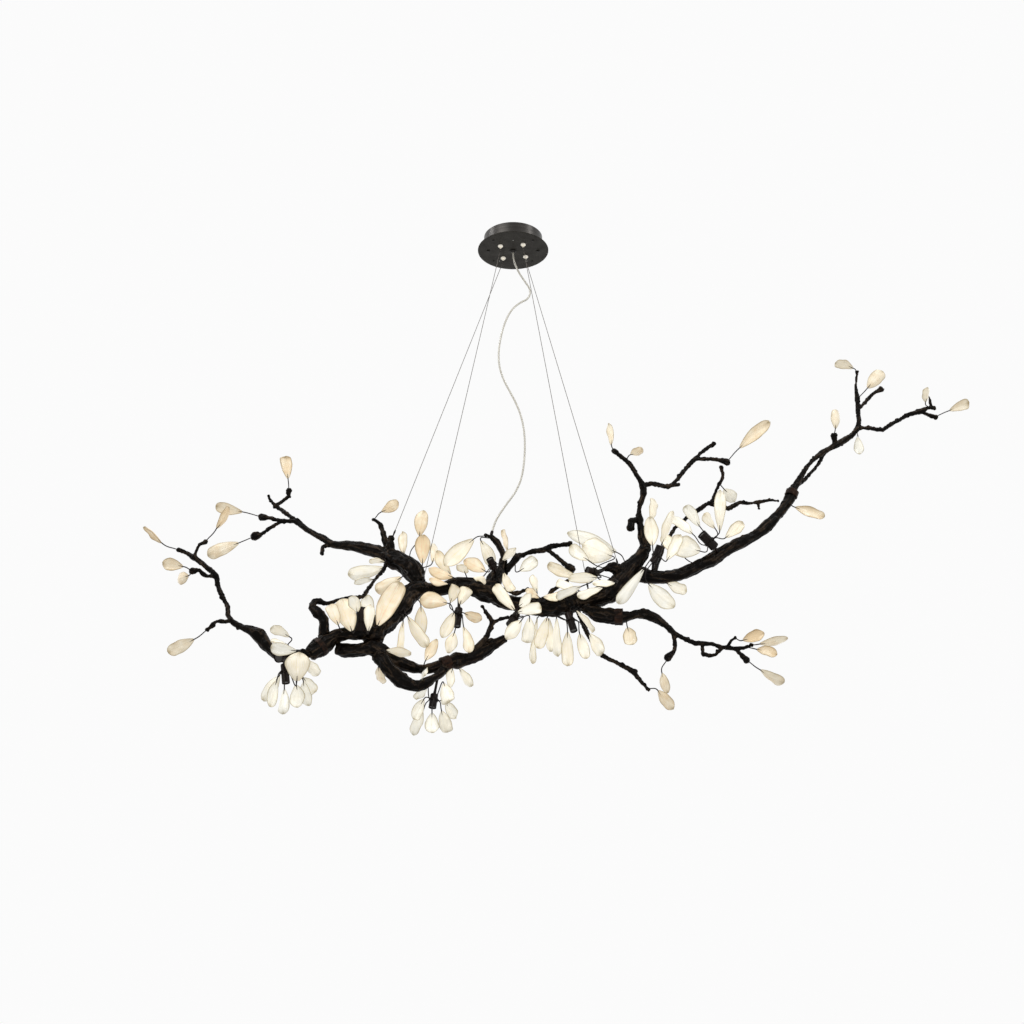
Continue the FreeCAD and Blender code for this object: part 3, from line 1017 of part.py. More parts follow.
def cable_parts():
    parts = {}
    ferrules = []
    for name in cable_ends:
        top, bend, end, foot_point, heading = cable_line(name)
        path = rounded_path([top, bend, end], [cable_bend_radius])
        parts["cable_" + name] = [make_tube(path, cable_radius)]
        print("cable", name, "length", round(path.Length, 1))
        head = foot_point - heading * ferrule_length
        waist = foot_point - heading * (ferrule_length * ferrule_waist_share)
        upper = Part.makeCone(ferrule_top_radius, ferrule_radius, (waist - head).Length, head, heading)
        lower = Part.makeCone(ferrule_radius, stud_radius, (foot_point - waist).Length, waist, heading)
        stud = Part.makeCylinder(stud_radius, stud_standoff + stud_depth, foot_point, heading)
        bore = Part.makeCylinder(cable_radius + cable_clearance / 2, ferrule_bore_depth + overrun,
                                 head - heading * overrun, heading)
        ferrules.append(upper.fuse(lower).fuse(stud).cut(bore))
    parts["cable_ferrules"] = ferrules
    return parts


def stud_holes(limb):
    holes = []
    for name in cable_ends:
        if cable_ends[name][2] == limb:
            top, bend, end, foot_point, heading = cable_line(name)
            holes.append(Part.makeCylinder(stud_radius + bolt_clearance,
                                           stud_standoff + stud_depth + seat_gap, foot_point, heading))
    return holes


def limb_parts():
    built = {}
    names = list(limbs)
    for i, name in enumerate(names):
        shape = make_limb(name)
        for hole in stud_holes(name):
            shape = shape.cut(hole)
        whole = shape.Volume
        shape = largest(cleared(shape, names[:i]))
        built[name] = [shape]
        print("limb", name, "kept share", round(shape.Volume / whole, 3))
    return built


def cord_points():
    plate_floor = -drum_height - plate_thickness
    mouth = Vector(0, 0, plate_floor - gland_length)
    root = place(*bush_root)
    lead = (place(*bush_heading) - root).normalize()
    points = [mouth, mouth - Vector(0, 0, cord_first_run)]
    points += [place(*row) for row in cord_route]
    points += [root + lead * (bush_length + cord_last_run), root + lead * bush_length]
    return points, root, lead


def cord_parts():
    points, root, lead = cord_points()
    radii = cord_radii(points)
    path = rounded_path(points, radii)
    tube = make_tube(path, cord_radius)
    print("cord length", round(path.Length, 1), "arc radii", [round(r, 1) for r in radii])
    print("cord runs", [round((b - a).Length, 1) for a, b in zip(points, points[1:])])
    print("cord volume over section times length",
          round(tube.Volume / (math.pi * cord_radius ** 2 * path.Length), 4))
    bush = Part.makeCone(bush_radius, cord_radius + tube_wall, bush_length, root, lead)
    return {"power_cord": [tube], "cord_bush": [largest(cleared(bush, ["crown_branch"]))]}


def along_limb(limb, place_in_rows):
    """Point and radius at a place given as a row number with its fraction."""
    rows = limbs[limb][0]
    index = int(place_in_rows)
    part = place_in_rows - index
    points = strand_points(rows)
    radii = strand_radii(rows)
    after = min(index + 1, len(rows) - 1)
    point = points[index] * (1 - part) + points[after] * part
    return point, radii[index] * (1 - part) + radii[after] * part


def sleeve_parts():
    sleeves = []
    for limb, first, last in sleeve_places:
        start, start_radius = along_limb(limb, first)
        end, end_radius = along_limb(limb, last)
        ring = rod(start, end, max(start_radius, end_radius) + sleeve_wall)
        sleeves.append(largest(cleared(ring, list(limbs))))
    return {"limb_sleeves": sleeves}


def petal_parts():
    parts = {}
    sprays = []
    wires = []
    lamps = {name: Light(row) for name, row in lights.items()}
    number = 0
    for node, groups in clusters.items():
        petals = parts.setdefault(node, [])
        for light_name, rows in groups:
            lamp = lamps[light_name]
            shapes = [lamp.collar()]
            for row in rows:
                petal = Petal(row, number)
                number += 1
                petals.append(petal.solid())
                shapes.append(make_wire([lamp.wire_start(petal.base)] + petal.wire_end()))
            whole = fused(shapes)
            hollow = rod(lamp.root, lamp.mouth, lamp.radius + light_fit)
            clear = cleared(whole.cut(hollow), list(limbs))
            spray = largest(clear)
            if len(clear.Solids) > 1:
                print("spray", light_name, "lost", [round(s.Volume) for s in clear.Solids])
            sprays.append(spray)
    for node, limb, starts, row in single_petals:
        petal = Petal(row, number)
        number += 1
        parts.setdefault(node, []).append(petal.solid())
        wire = make_wire([place(*point) for point in starts] + petal.wire_end())
        clear = cleared(wire, list(limbs))
        if len(clear.Solids) > 1:
            print("wire", node, row[:2], "lost", [round(s.Volume) for s in clear.Solids])
        wires.append(largest(clear))
    tubes = []
    for name, lamp in lamps.items():
        clear = cleared(lamp.tube(), list(limbs))
        if len(clear.Solids) > 1:
            print("tube", name, "lost", [round(s.Volume) for s in clear.Solids])
        tubes.append(largest(clear))
    parts["petal_collars"] = sprays
    parts["petal_wires"] = wires
    parts["light_tubes"] = tubes
    parts["led_modules"] = [lamp.module() for lamp in lamps.values()]
    parts["light_lenses"] = [lamp.lens() for lamp in lamps.values()]
    return parts


def hanging_parts():
    """The hook below the twig, the eyelet that swings on it and the petal under the eyelet."""
    up = Vector(0, 0, 1)
    seat = place(*hook_seat)
    centre = seat - up * (hook_drop + hook_radius + strand_radii([hook_row])[0])
    pivot = centre - up * hook_radius
    shank = rod(seat, centre + up * hook_radius, hook_wire)
    ring = Part.makeTorus(hook_radius, hook_wire, centre, Vector(1, 0, 0))
    hook = largest(cleared(shank.fuse(ring), ["bough_tip"]))
    eye_centre = pivot + up * (hook_wire + hook_slack + eye_wire - eye_radius)
    eye = Part.makeTorus(eye_radius, eye_wire, eye_centre, Vector(0, 1, 0))
    foot = eye_centre - up * (eye_radius + eye_wire + hook_slack)
    eye = eye.fuse(rod(eye_centre - up * eye_radius, foot, eye_wire))
    petal = Petal(hook_petal_row, 1)
    petal.base = foot - up * petal_seat_gap
    petal.axis = Vector(0, 0, -1)
    petal.face = Vector(0, -1, 0)
    petal.side = petal.face.cross(petal.axis) * -1
    print("swing pivot", [round(x, 3) for x in pivot])
    return hook, {"hanging_petal": [petal.solid()], "petal_eyelet": [eye]}


def write_parts(parts):
    for name, solids in parts.items():
        for solid in solids:
            if not solid.isValid() or len(solid.Solids) != 1:
                print("check", name, "valid", solid.isValid(), "solids", len(solid.Solids))
        shape = solids[0] if len(solids) == 1 else Part.makeCompound(solids)
        shape.exportStep("parts/" + name + ".step")
    print("nodes", len(parts), "solids", sum(len(solids) for solids in parts.values()))


parts = canopy_parts()
parts.update(cable_parts())
parts.update(cord_parts())
parts.update(limb_parts())
parts.update(sleeve_parts())
parts.update(petal_parts())
hook, hanging = hanging_parts()
parts["petal_wires"].append(hook)
parts.update(hanging)
write_parts(parts)
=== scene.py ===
import bmesh
import bpy
import math
import numpy as np
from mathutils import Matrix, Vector
from mathutils.bvhtree import BVHTree


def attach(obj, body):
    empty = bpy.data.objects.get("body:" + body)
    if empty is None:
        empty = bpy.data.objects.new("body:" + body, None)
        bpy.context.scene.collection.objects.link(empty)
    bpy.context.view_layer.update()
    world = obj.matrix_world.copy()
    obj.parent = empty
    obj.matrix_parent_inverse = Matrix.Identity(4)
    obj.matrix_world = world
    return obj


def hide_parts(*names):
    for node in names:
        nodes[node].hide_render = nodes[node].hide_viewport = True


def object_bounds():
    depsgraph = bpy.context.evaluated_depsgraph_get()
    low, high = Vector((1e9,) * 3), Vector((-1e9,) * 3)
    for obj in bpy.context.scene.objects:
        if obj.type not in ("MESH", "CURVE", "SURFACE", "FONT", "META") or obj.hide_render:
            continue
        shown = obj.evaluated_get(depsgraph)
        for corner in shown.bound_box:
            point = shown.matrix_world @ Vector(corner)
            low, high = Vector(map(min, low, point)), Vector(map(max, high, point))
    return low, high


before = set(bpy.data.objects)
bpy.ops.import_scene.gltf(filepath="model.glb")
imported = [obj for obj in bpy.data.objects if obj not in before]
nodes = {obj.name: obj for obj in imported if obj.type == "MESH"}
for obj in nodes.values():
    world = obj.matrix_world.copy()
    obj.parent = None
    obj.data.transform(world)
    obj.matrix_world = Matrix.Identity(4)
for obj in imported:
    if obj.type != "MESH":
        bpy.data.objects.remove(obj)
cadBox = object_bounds()

limbNames = ["lower_limb", "left_trunk", "centre_trunk", "right_trunk", "upper_left_limb", "lower_left_limb",
             "swag_limb", "crooked_branch", "far_left_branch", "crown_branch", "crown_arm", "riser_branch",
             "right_bough", "bough_tip", "back_twig", "lower_right_limb", "hanging_twig"]
petalNames = ["petals_far_left", "petals_left", "petals_centre_left", "petals_swag", "petals_centre",
              "petals_crown", "petals_riser", "petals_bough", "petals_right_centre",
              "twig_petals_left", "twig_petals_right", "twig_petals_low"]


# Colours and shader nodes
def linear(tone):
    parts = [int(tone[i:i + 2], 16) / 255 for i in (0, 2, 4)]
    return [p / 12.92 if p <= 0.04045 else ((p + 0.055) / 1.055) ** 2.4 for p in parts] + [1.0]


# Adds a shader node with its settings, values and links. A node given as a value stands for its first output,
# and stops are the places and tones of a colour ramp
def addNode(tree, kind, inputs=None, stops=(), **settings):
    node = tree.nodes.new("ShaderNode" + kind)
    for name, value in settings.items():
        setattr(node, name, value)
    for name, value in (inputs or {}).items():
        if isinstance(value, bpy.types.Node):
            value = value.outputs[0]
        if isinstance(value, bpy.types.NodeSocket):
            tree.links.new(value, node.inputs[name])
        else:
            node.inputs[name].default_value = value
    for i, (spot, tone) in enumerate(stops):
        element = node.color_ramp.elements[i] if i < 2 else node.color_ramp.elements.new(spot)
        element.position = spot
        element.color = linear(tone)
    return node


def newMaterial(name):
    material = bpy.data.materials.new(name)
    material.use_nodes = True
    material.node_tree.nodes.clear()
    return material, material.node_tree


# Patch and grit are the sizes in millimetres of the broad clouds and of the fine grain. Real grit on these
# metals is 0.1 to 0.3 mm, under a tenth of a pixel, so it is drawn at 1 to 2 mm to show.
finishes = {
    # Bronze cast in a bark-like mould and patinated almost black: dark hollows and a dull gloss; the ridges are a
    # pale grey-brown that is partly patina and partly a painted sheen standing in for the long highlights along
    # the limbs
    "limb": {"name": "castBronzeDarkPatina", "tones": ["030201", "0F0B08", "5C4C3D"], "places": (0.36, 0.6, 0.86),
             "roughness": 0.3, "grainShare": 0.75, "bump": 0.35, "grit": 1.4, "specular": 0.05},
    # Soft iron wire, annealed black: even and dull, a little brown where it has been handled
    "wire": {"name": "annealedIronWire", "tones": ["0E0A08", "1B1411", "2E2520"], "roughness": 0.45, "bump": 0.1,
             "specular": 0.15},
    # Copper sleeve, hammered over the joint and left to oxidise: warmer and a little redder than the limbs
    "sleeve": {"name": "hammeredOxidisedCopper", "tones": ["0B0704", "1C120D", "4A3123"], "roughness": 0.4,
               "grainShare": 0.6, "bump": 0.4, "specular": 0.08},
    # Brass tube, turned and oil-rubbed: smooth, dark brown, with a soft streak of light along it
    "tube": {"name": "turnedOilRubbedBrass", "tones": ["0E0908", "1B1210", "32231D"], "roughness": 0.36,
             "bump": 0.15, "grit": 2, "specular": 0.14},
    # Spun steel disc, powder coated: flat dark grey with a faint orange-peel
    "plate": {"name": "powderCoatedSteel", "tones": ["24211D", "302D28", "3D3A34"], "roughness": 0.46,
              "bump": 0.12, "grit": 1.4, "specular": 0.12},
    # Machine screws, black oxide over steel: dark with a bright edge where the light catches the head
    "screw": {"name": "blackOxideSteel", "tones": ["141210", "221F1D", "3C3835"], "roughness": 0.4, "bump": 0.1,
              "metallic": 0.6},
    # Pressed steel, zinc plated: pale grey and slightly cloudy
    "steel": {"name": "zincPlatedSteel", "tones": ["8A8A86", "A6A6A2", "C2C2BE"], "roughness": 0.35, "bump": 0.1,
              "metallic": 0.8},
    # Turned brass tips, nickel plated and polished: nearly white against the canopy, helped by a painted glow
    # (lit), though they are no lamp
    "brass": {"name": "polishedNickelPlatePaintedGlow", "tones": ["F4EAD2", "FAF3E2", "FFFCF4"], "roughness": 0.26,
              "bump": 0.05, "grit": 0.9, "specular": 0.7, "lit": 0.32},
    # Turned brass bodies, nickel plated and satin: the same nickel with its gloss rubbed down, and the same
    # painted glow
    "body": {"name": "satinNickelPlatePaintedGlow", "tones": ["ECE4D2", "F6F0E2", "FDFAF2"], "roughness": 0.34, "bump": 0.05,
             "specular": 0.6, "lit": 0.32},
    # Driver case, moulded ABS: plain white with a fine spark-eroded grain
    "white": {"name": "mouldedAbs", "tones": ["D6D6D2", "E2E2DE", "EEEEEA"], "roughness": 0.5, "bump": 0.06},
    # Terminal block, moulded polyamide: cream and slightly waxy
    "block": {"name": "mouldedPolyamide", "tones": ["BEB8A8", "CCC6B6", "DAD4C6"], "roughness": 0.5, "bump": 0.06},
}


def finishMaterial(name, tones, roughness, patch=22, grit=1.1, grainShare=0.0, bump=0.25, metallic=0.0,
                   specular=0.4, lit=0.0, places=(0.3, 0.52, 0.74)):
    material, tree = newMaterial(name)
    place = addNode(tree, "TexCoord").outputs["Object"]
    broad = addNode(tree, "TexNoise", {"Vector": place, "Scale": 1000 / patch, "Detail": 4.0, "Roughness": 0.55})
    small = addNode(tree, "TexNoise", {"Vector": place, "Scale": 1000 / grit, "Detail": 2.0, "Roughness": 0.55})
    mixed = addNode(tree, "Mix", {0: 0.35, 2: broad, 3: small})
    if grainShare:  # the mesh carries the streaks of its own relief as an attribute
        grain = addNode(tree, "Attribute", attribute_name="grain").outputs["Fac"]
        mixed = addNode(tree, "Mix", {0: grainShare, 2: mixed, 3: grain})
    colour = addNode(tree, "ValToRGB", {"Fac": mixed}, zip(places, tones))
    rough = addNode(tree, "MapRange", {"Value": mixed, "From Min": 0.3, "From Max": 0.7,
                                       "To Min": roughness + 0.12, "To Max": roughness - 0.08})
    relief = addNode(tree, "Bump", {"Height": mixed, "Strength": bump, "Distance": 0.001})
    # lit is a glow in the surface's own colour; on the gripper nickel it is painted light, since they are no lamp
    shader = addNode(tree, "BsdfPrincipled", {
        "Base Color": colour, "Roughness": rough, "Normal": relief, "Metallic": metallic,
        "Specular IOR Level": specular, "Emission Color": colour, "Emission Strength": lit})
    addNode(tree, "OutputMaterial", {"Surface": shader})
    return material


# Bone china, slip cast about 2 mm thick and glazed: pale cream with a painted glow all over that stands in for the
# light it lets through, stronger near the lamps and tinted there to the lamp's colour as painted lamp light;
# an olive-grey line painted round the thin edge and the tip as painted shade, and a darker foot; faint lengthwise
# veins, and a thin clear gloss. Cloud is the size in millimetres of its broad shades, and veins is how many lie
# across a petal.
chinaLook = {
    "name": "slipCastBoneChinaWithPaintedGlow", "tones": ["F4F2E8", "F9F3E2", "F3E8D0", "E0C8A2"],
    "places": (0.0, 0.25, 0.55, 0.95),
    "cloud": 18, "veins": 22, "line": "A89F86", "lamp": "FFF8E8", "paintedLampShare": 0.25, "dim": 0.445, "bright": 0.49,
    "roughness": 0.34, "coat": 0.25, "coatRoughness": 0.12, "edgePower": 3.8, "tipPower": 15.0,
}


def petalMaterial(look):
    material, tree = newMaterial(look["name"])
    uv = addNode(tree, "UVMap", uv_map="petal")
    parts = addNode(tree, "SeparateXYZ", {"Vector": uv})
    tintAndShade = addNode(tree, "Attribute", attribute_name="tintAndShade").outputs["Fac"]
    glow = addNode(tree, "Attribute", attribute_name="glow").outputs["Fac"]
    place = addNode(tree, "TexCoord").outputs["Object"]
    cloud = addNode(tree, "TexNoise", {"Vector": place, "Scale": 1000 / look["cloud"], "Detail": 3.0})
    stretched = addNode(tree, "Mapping", {"Vector": uv, "Scale": (look["veins"], 1.4, 1.0)})
    veins = addNode(tree, "TexNoise", {"Vector": stretched, "Scale": 1.0, "Detail": 3.0, "Roughness": 0.6})
    drift = addNode(tree, "Math", {0: cloud, 1: 0.8, 2: -0.4}, operation="MULTIPLY_ADD")
    shade = addNode(tree, "Math", {0: tintAndShade, 1: drift})
    ground = addNode(tree, "ValToRGB", {"Fac": shade}, zip(look["places"], look["tones"]))
    # The rim and the tip, darkened below with the line colour as painted shade at the thin edge; the foot is
    # darkened too
    side = addNode(tree, "Math", {0: parts.outputs["X"], 1: 2.0, 2: -1.0}, operation="MULTIPLY_ADD")
    square = addNode(tree, "Math", {0: side, 1: side}, operation="MULTIPLY")
    edge = addNode(tree, "Math", {0: square, 1: look["edgePower"]}, operation="POWER")
    tip = addNode(tree, "Math", {0: parts.outputs["Y"], 1: look["tipPower"]}, operation="POWER")
    border = addNode(tree, "Math", {0: edge, 1: tip}, operation="MAXIMUM")
    lines = addNode(tree, "MapRange", {"Value": veins, "From Min": 0.5, "From Max": 0.68, "To Max": 0.5})
    foot = addNode(tree, "MapRange", {"Value": parts.outputs["Y"], "From Max": 0.3, "To Min": 0.3, "To Max": 0.0})
    dark = addNode(tree, "Math", {0: border, 1: foot})
    dark = addNode(tree, "Math", {0: dark, 1: lines}, use_clamp=True)
    drawn = addNode(tree, "Mix", {0: dark, 6: ground, 7: linear(look["line"])}, data_type="RGBA",
                    blend_type="MULTIPLY").outputs[2]
    # Painted light: every petal glows a little (dim to bright), more near a lamp, where its colour is also tinted
    # towards the lamp tone; no petal is a lamp
    share = addNode(tree, "Math", {0: glow, 1: look["paintedLampShare"]}, operation="MULTIPLY")
    shown = addNode(tree, "Mix", {0: share, 6: drawn, 7: linear(look["lamp"])}, data_type="RGBA").outputs[2]
    light = addNode(tree, "MapRange", {"Value": glow, "To Min": look["dim"], "To Max": look["bright"]})
    relief = addNode(tree, "Bump", {"Height": veins, "Strength": 0.3, "Distance": 0.0008})
    shader = addNode(tree, "BsdfPrincipled", {
        "Base Color": drawn, "Emission Color": shown, "Emission Strength": light, "Normal": relief,
        "Roughness": look["roughness"], "Coat Weight": look["coat"], "Coat Roughness": look["coatRoughness"]})
    addNode(tree, "OutputMaterial", {"Surface": shader})
    return material


threads = {
    # Stainless wire rope, 1.5 mm of laid strands: the lay of 4 mm shows as small dull steps of grey
    "cable": {"name": "laidSteelRope", "tones": ["4E4843", "5E5852", "706A64"], "turns": 220, "starts": 3,
              "metallic": 0.3, "roughness": 0.45, "coat": 0.0, "weave": "MULTIPLY"},
    # Round textile flex, cream thread braided over the cores every 3.5 mm and sheathed in clear PVC
    "cord": {"name": "braidedTextileFlex", "tones": ["8A8270", "D4CDBA", "F4F1E8"], "turns": 240, "starts": 4,
             "metallic": 0.0, "roughness": 0.4, "coat": 0.6, "weave": "MAXIMUM"},
}


# Threads that run round a curve both ways: turns counts them along its length and starts counts them round it
def threadMaterial(name, tones, turns, starts, metallic, roughness, coat, weave):
    material, tree = newMaterial(name)
    place = addNode(tree, "TexCoord")
    parts = addNode(tree, "SeparateXYZ", {"Vector": place.outputs["UV"]})
    along = addNode(tree, "Math", {0: parts.outputs["X"], 1: turns * 2 * math.pi}, operation="MULTIPLY")
    around = addNode(tree, "Math", {0: parts.outputs["Y"], 1: starts * 2 * math.pi}, operation="MULTIPLY")
    right = addNode(tree, "Math", {0: along, 1: around})
    left = addNode(tree, "Math", {0: along, 1: around}, operation="SUBTRACT")
    right = addNode(tree, "Math", {0: right}, operation="SINE")
    left = addNode(tree, "Math", {0: left}, operation="SINE")
    crossed = addNode(tree, "Math", {0: right, 1: left}, operation=weave)
    crossed = addNode(tree, "Math", {0: crossed, 1: 0.5, 2: 0.5}, operation="MULTIPLY_ADD")
    cloud = addNode(tree, "TexNoise", {"Vector": place.outputs["Object"], "Scale": 60.0, "Detail": 3.0})
    mixed = addNode(tree, "Mix", {0: 0.3, 2: crossed, 3: cloud})
    colour = addNode(tree, "ValToRGB", {"Fac": mixed}, zip((0.2, 0.5, 0.85), tones))
    relief = addNode(tree, "Bump", {"Height": crossed, "Strength": 0.25, "Distance": 0.0004})
    shader = addNode(tree, "BsdfPrincipled", {
        "Base Color": colour, "Normal": relief, "Metallic": metallic, "Roughness": roughness,
        "Coat Weight": coat, "Coat Roughness": 0.08})
    addNode(tree, "OutputMaterial", {"Surface": shader})
    return material


lampParts = {
    # LED module, silicone poured over the board: warm and faintly lit
    "module": {"name": "pouredSilicone", "tones": ["C8B088", "E6D8BC"], "lit": 0.2},
    # Lens, acrylic moulded in smoke brown: a dark mouth with a dull gleam
    "lens": {"name": "mouldedSmokedAcrylic", "tones": ["17120E", "2E2720"], "lit": 0.05},
}


def lampMaterial(name, tones, lit):
    material, tree = newMaterial(name)
    place = addNode(tree, "TexCoord").outputs["Object"]
    cloud = addNode(tree, "TexNoise", {"Vector": place, "Scale": 300.0, "Detail": 2.0})
    colour = addNode(tree, "ValToRGB", {"Fac": cloud}, zip((0.3, 0.8), tones))
    shader = addNode(tree, "BsdfPrincipled", {"Base Color": colour, "Emission Color": colour,
                                              "Emission Strength": lit, "Roughness": 0.3})
    addNode(tree, "OutputMaterial", {"Surface": shader})
    return material


# Steel drum, spun and brushed round, then gun-blued: dark grey with soft bands of light and hair lines that run
# round it, 0.2 mm apart on the real one and drawn 1.4 mm apart to show
drumLook = {"name": "brushedBluedSteel", "tones": ["1F1D1A", "2D2A27", "403C38"], "hair": 1.4, "round": 170,
            "cloud": 33, "metallic": 0.6, "roughness": 0.34}


def brushedMaterial(look):
    material, tree = newMaterial(look["name"])
    place = addNode(tree, "TexCoord").outputs["Object"]
    wide = 1000 / look["round"]
    drawn = addNode(tree, "Mapping", {"Vector": place, "Scale": (wide, wide, 1000 / look["hair"])})
    hair = addNode(tree, "TexNoise", {"Vector": drawn, "Scale": 1.0, "Detail": 3.0})
    cloud = addNode(tree, "TexNoise", {"Vector": place, "Scale": 1000 / look["cloud"], "Detail": 3.0})
    mixed = addNode(tree, "Mix", {0: 0.4, 2: hair, 3: cloud})
    colour = addNode(tree, "ValToRGB", {"Fac": mixed}, zip((0.3, 0.5, 0.72), look["tones"]))
    relief = addNode(tree, "Bump", {"Height": hair, "Strength": 0.05, "Distance": 0.0005})
    shader = addNode(tree, "BsdfPrincipled", {
        "Base Color": colour, "Normal": relief, "Metallic": look["metallic"], "Roughness": look["roughness"]})
    addNode(tree, "OutputMaterial", {"Surface": shader})
    return material


materials = {key: finishMaterial(**look) for key, look in finishes.items()}
materials.update({key: threadMaterial(**look) for key, look in threads.items()})
materials.update({key: lampMaterial(**look) for key, look in lampParts.items()})
materials["petal"] = petalMaterial(chinaLook)
materials["drum"] = brushedMaterial(drumLook)
print("materials made", len(materials))


# The eight corners of each point's lattice cell, with how near the point is to each
def cellCorners(part):
    for corner in np.ndindex(2, 2, 2):
        x, y, z = (part[:, i] if far else 1 - part[:, i] for i, far in enumerate(corner))
        yield *corner, x * y * z


# One scrambled number for each lattice cell
def cellKey(x, y, z, salt):
    return (x * 73856093) ^ (y * 19349663) ^ (z * 83492791) ^ salt


# Value noise on a lattice, for many points at once
def latticeNoise(points, scale, seed):
    q = points * scale
    cell = np.floor(q).astype(np.int64)
    part = q - cell
    part = part * part * (3 - 2 * part)
    total = np.zeros(len(points))
    for dx, dy, dz, weight in cellCorners(part):
        key = cellKey(cell[:, 0] + dx, cell[:, 1] + dy, cell[:, 2] + dz, seed * 2654435761)
        key = (key ^ (key >> 13)) * 1274126177
        total += ((key ^ (key >> 16)) & 65535) / 65535 * weight
    return total


# One property of all the items of a mesh, a row for each item
def rowsOf(items, name, width, kind):
    values = np.empty(len(items) * width, kind)
    items.foreach_get(name, values)
    return values.reshape(-1, width)


def pointsOf(mesh):
    return rowsOf(mesh.vertices, "co", 3, np.float32).astype(float)


def normalsOf(mesh):
    return rowsOf(mesh.vertex_normals, "vector", 3, np.float32).astype(float)


def edgesOf(mesh):
    return rowsOf(mesh.edges, "vertices", 2, np.int32)


def setPoints(mesh, points):
    mesh.vertices.foreach_set("co", points.astype(np.float32).ravel())
    mesh.update()


def setAttribute(mesh, name, values):
    attribute = mesh.attributes.new(name, "FLOAT", "POINT")
    attribute.data.foreach_set("value", np.asarray(values, np.float32))


# Each point moved by a share of the way to the middle of its neighbours
def relaxed(points, edges, share):
    total = np.zeros_like(points)
    count = np.bincount(edges.ravel(), minlength=len(points)).astype(float)
    for axis in range(points.shape[1]):
        total[:, axis] = np.bincount(edges[:, 0], points[edges[:, 1], axis], len(points)) \
            + np.bincount(edges[:, 1], points[edges[:, 0], axis], len(points))
    return points + (total / np.maximum(count, 1)[:, None] - points) * share


# Direction along the limb at each point: the one that all the normals near it are square to
def growthAxis(points, normals, cell=0.009):
    low = points.min(0) - cell * 2
    size = np.ceil((points.max(0) - low) / cell).astype(int) + 3
    at = (points - low) / cell - 0.5
    base = np.floor(at).astype(int)
    part = at - base
    pairs = [(0, 0), (0, 1), (0, 2), (1, 1), (1, 2), (2, 2)]
    flat = (base[:, 0] * size[1] + base[:, 1]) * size[2] + base[:, 2]
    result = np.zeros((len(points), 3, 3))
    for i, j in pairs:
        grid = np.bincount(flat, normals[:, i] * normals[:, j], int(np.prod(size))).reshape(size)
        for axis in range(3):
            grid = grid + np.roll(grid, 1, axis) + np.roll(grid, -1, axis)
        value = np.zeros(len(points))
        for dx, dy, dz, weight in cellCorners(part):
            value += weight * grid[base[:, 0] + dx, base[:, 1] + dy, base[:, 2] + dz]
        result[:, i, j] = value
        result[:, j, i] = value
    return np.linalg.eigh(result)[1][:, :, 0]


def newObject(name, data):
    piece = bpy.data.objects.new(name, data)
    bpy.context.scene.collection.objects.link(piece)
    return piece


# A made piece gets its name, its one material and its body, and the CAD node that it stands for is hidden
def finished(piece, name, material, replaced, body="fixture"):
    piece.name = name
    piece.data.name = name
    piece.data.materials.clear()
    piece.data.materials.append(materials[material])
    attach(piece, body)
    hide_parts(replaced)
    return piece


# Metres, but a pitch is per metre, and a share is a part of the limb's radius
limbLook = {
    "voxel": 0.0016, "rounds": 5, "radiusRounds": 12, "smallest": 0.003, "largest": 0.022, "inset": 0.08,
    "lumpPitch": 38.0, "lumpShare": 0.26, "smallLump": 0.7,
    "ridgePitch": 125.0, "ridgeReach": 0.03, "ridgeShare": 0.17,
    "grainPitch": 340.0, "grainReach": 0.016, "grainDepth": 0.0007, "steps": 4,
    "knobCell": 0.021, "knobReach": 0.0068, "knobHeight": 0.0044, "knobOdds": 0.42,
    "knobFade": 1.3, "knobRadius": 0.014, "knobLeast": 0.2,
    "twigPitch": 130.0, "twigHeight": 0.0021, "twigRadius": 0.012,
}


def selectOnly(*pieces):
    bpy.ops.object.select_all(action="DESELECT")
    for piece in pieces:
        piece.select_set(True)
    bpy.context.view_layer.objects.active = pieces[0]


# A copy of a CAD node's mesh, merged and made one even skin
def remeshed(name, voxel):
    source = newObject("rough", nodes[name].data.copy())
    selectOnly(source)
    bpy.ops.object.mode_set(mode="EDIT")
    bpy.ops.mesh.select_all(action="SELECT")
    bpy.ops.mesh.remove_doubles(threshold=1e-6)
    bpy.ops.object.mode_set(mode="OBJECT")
    remesh = source.modifiers.new("remesh", "REMESH")
    remesh.mode = "VOXEL"
    remesh.voxel_size = voxel
    bpy.ops.object.modifier_apply(modifier="remesh")
    mesh = source.data
    bpy.data.objects.remove(source)
    return mesh


# Half of the way through the limb below each point, evened out over the skin
def localRadius(mesh, points, normals, edges):
    tree = BVHTree.FromPolygons([Vector(p) for p in points], [face.vertices for face in mesh.polygons])
    widths = []
    for point, normal in zip(points, normals):
        inward = Vector(-normal)
        hit = tree.ray_cast(Vector(point) + inward * 0.0006, inward, 2 * limbLook["largest"])
        widths.append((hit[3] or 2 * limbLook["largest"]) / 2)
    radius = np.clip(widths, limbLook["smallest"], limbLook["largest"])[:, None]
    for i in range(limbLook["radiusRounds"]):
        radius = relaxed(radius, edges, 0.8)
    return radius[:, 0]


# Noise that is smeared along the limb, from about minus one to one
def streaks(points, along, pitch, reach, seed):
    steps = limbLook["steps"]
    total = sum(latticeNoise(points + along * (reach * k / steps), pitch, seed)
                for k in range(-steps, steps + 1))
    return (total / (2 * steps + 1) - 0.5) * 3.2


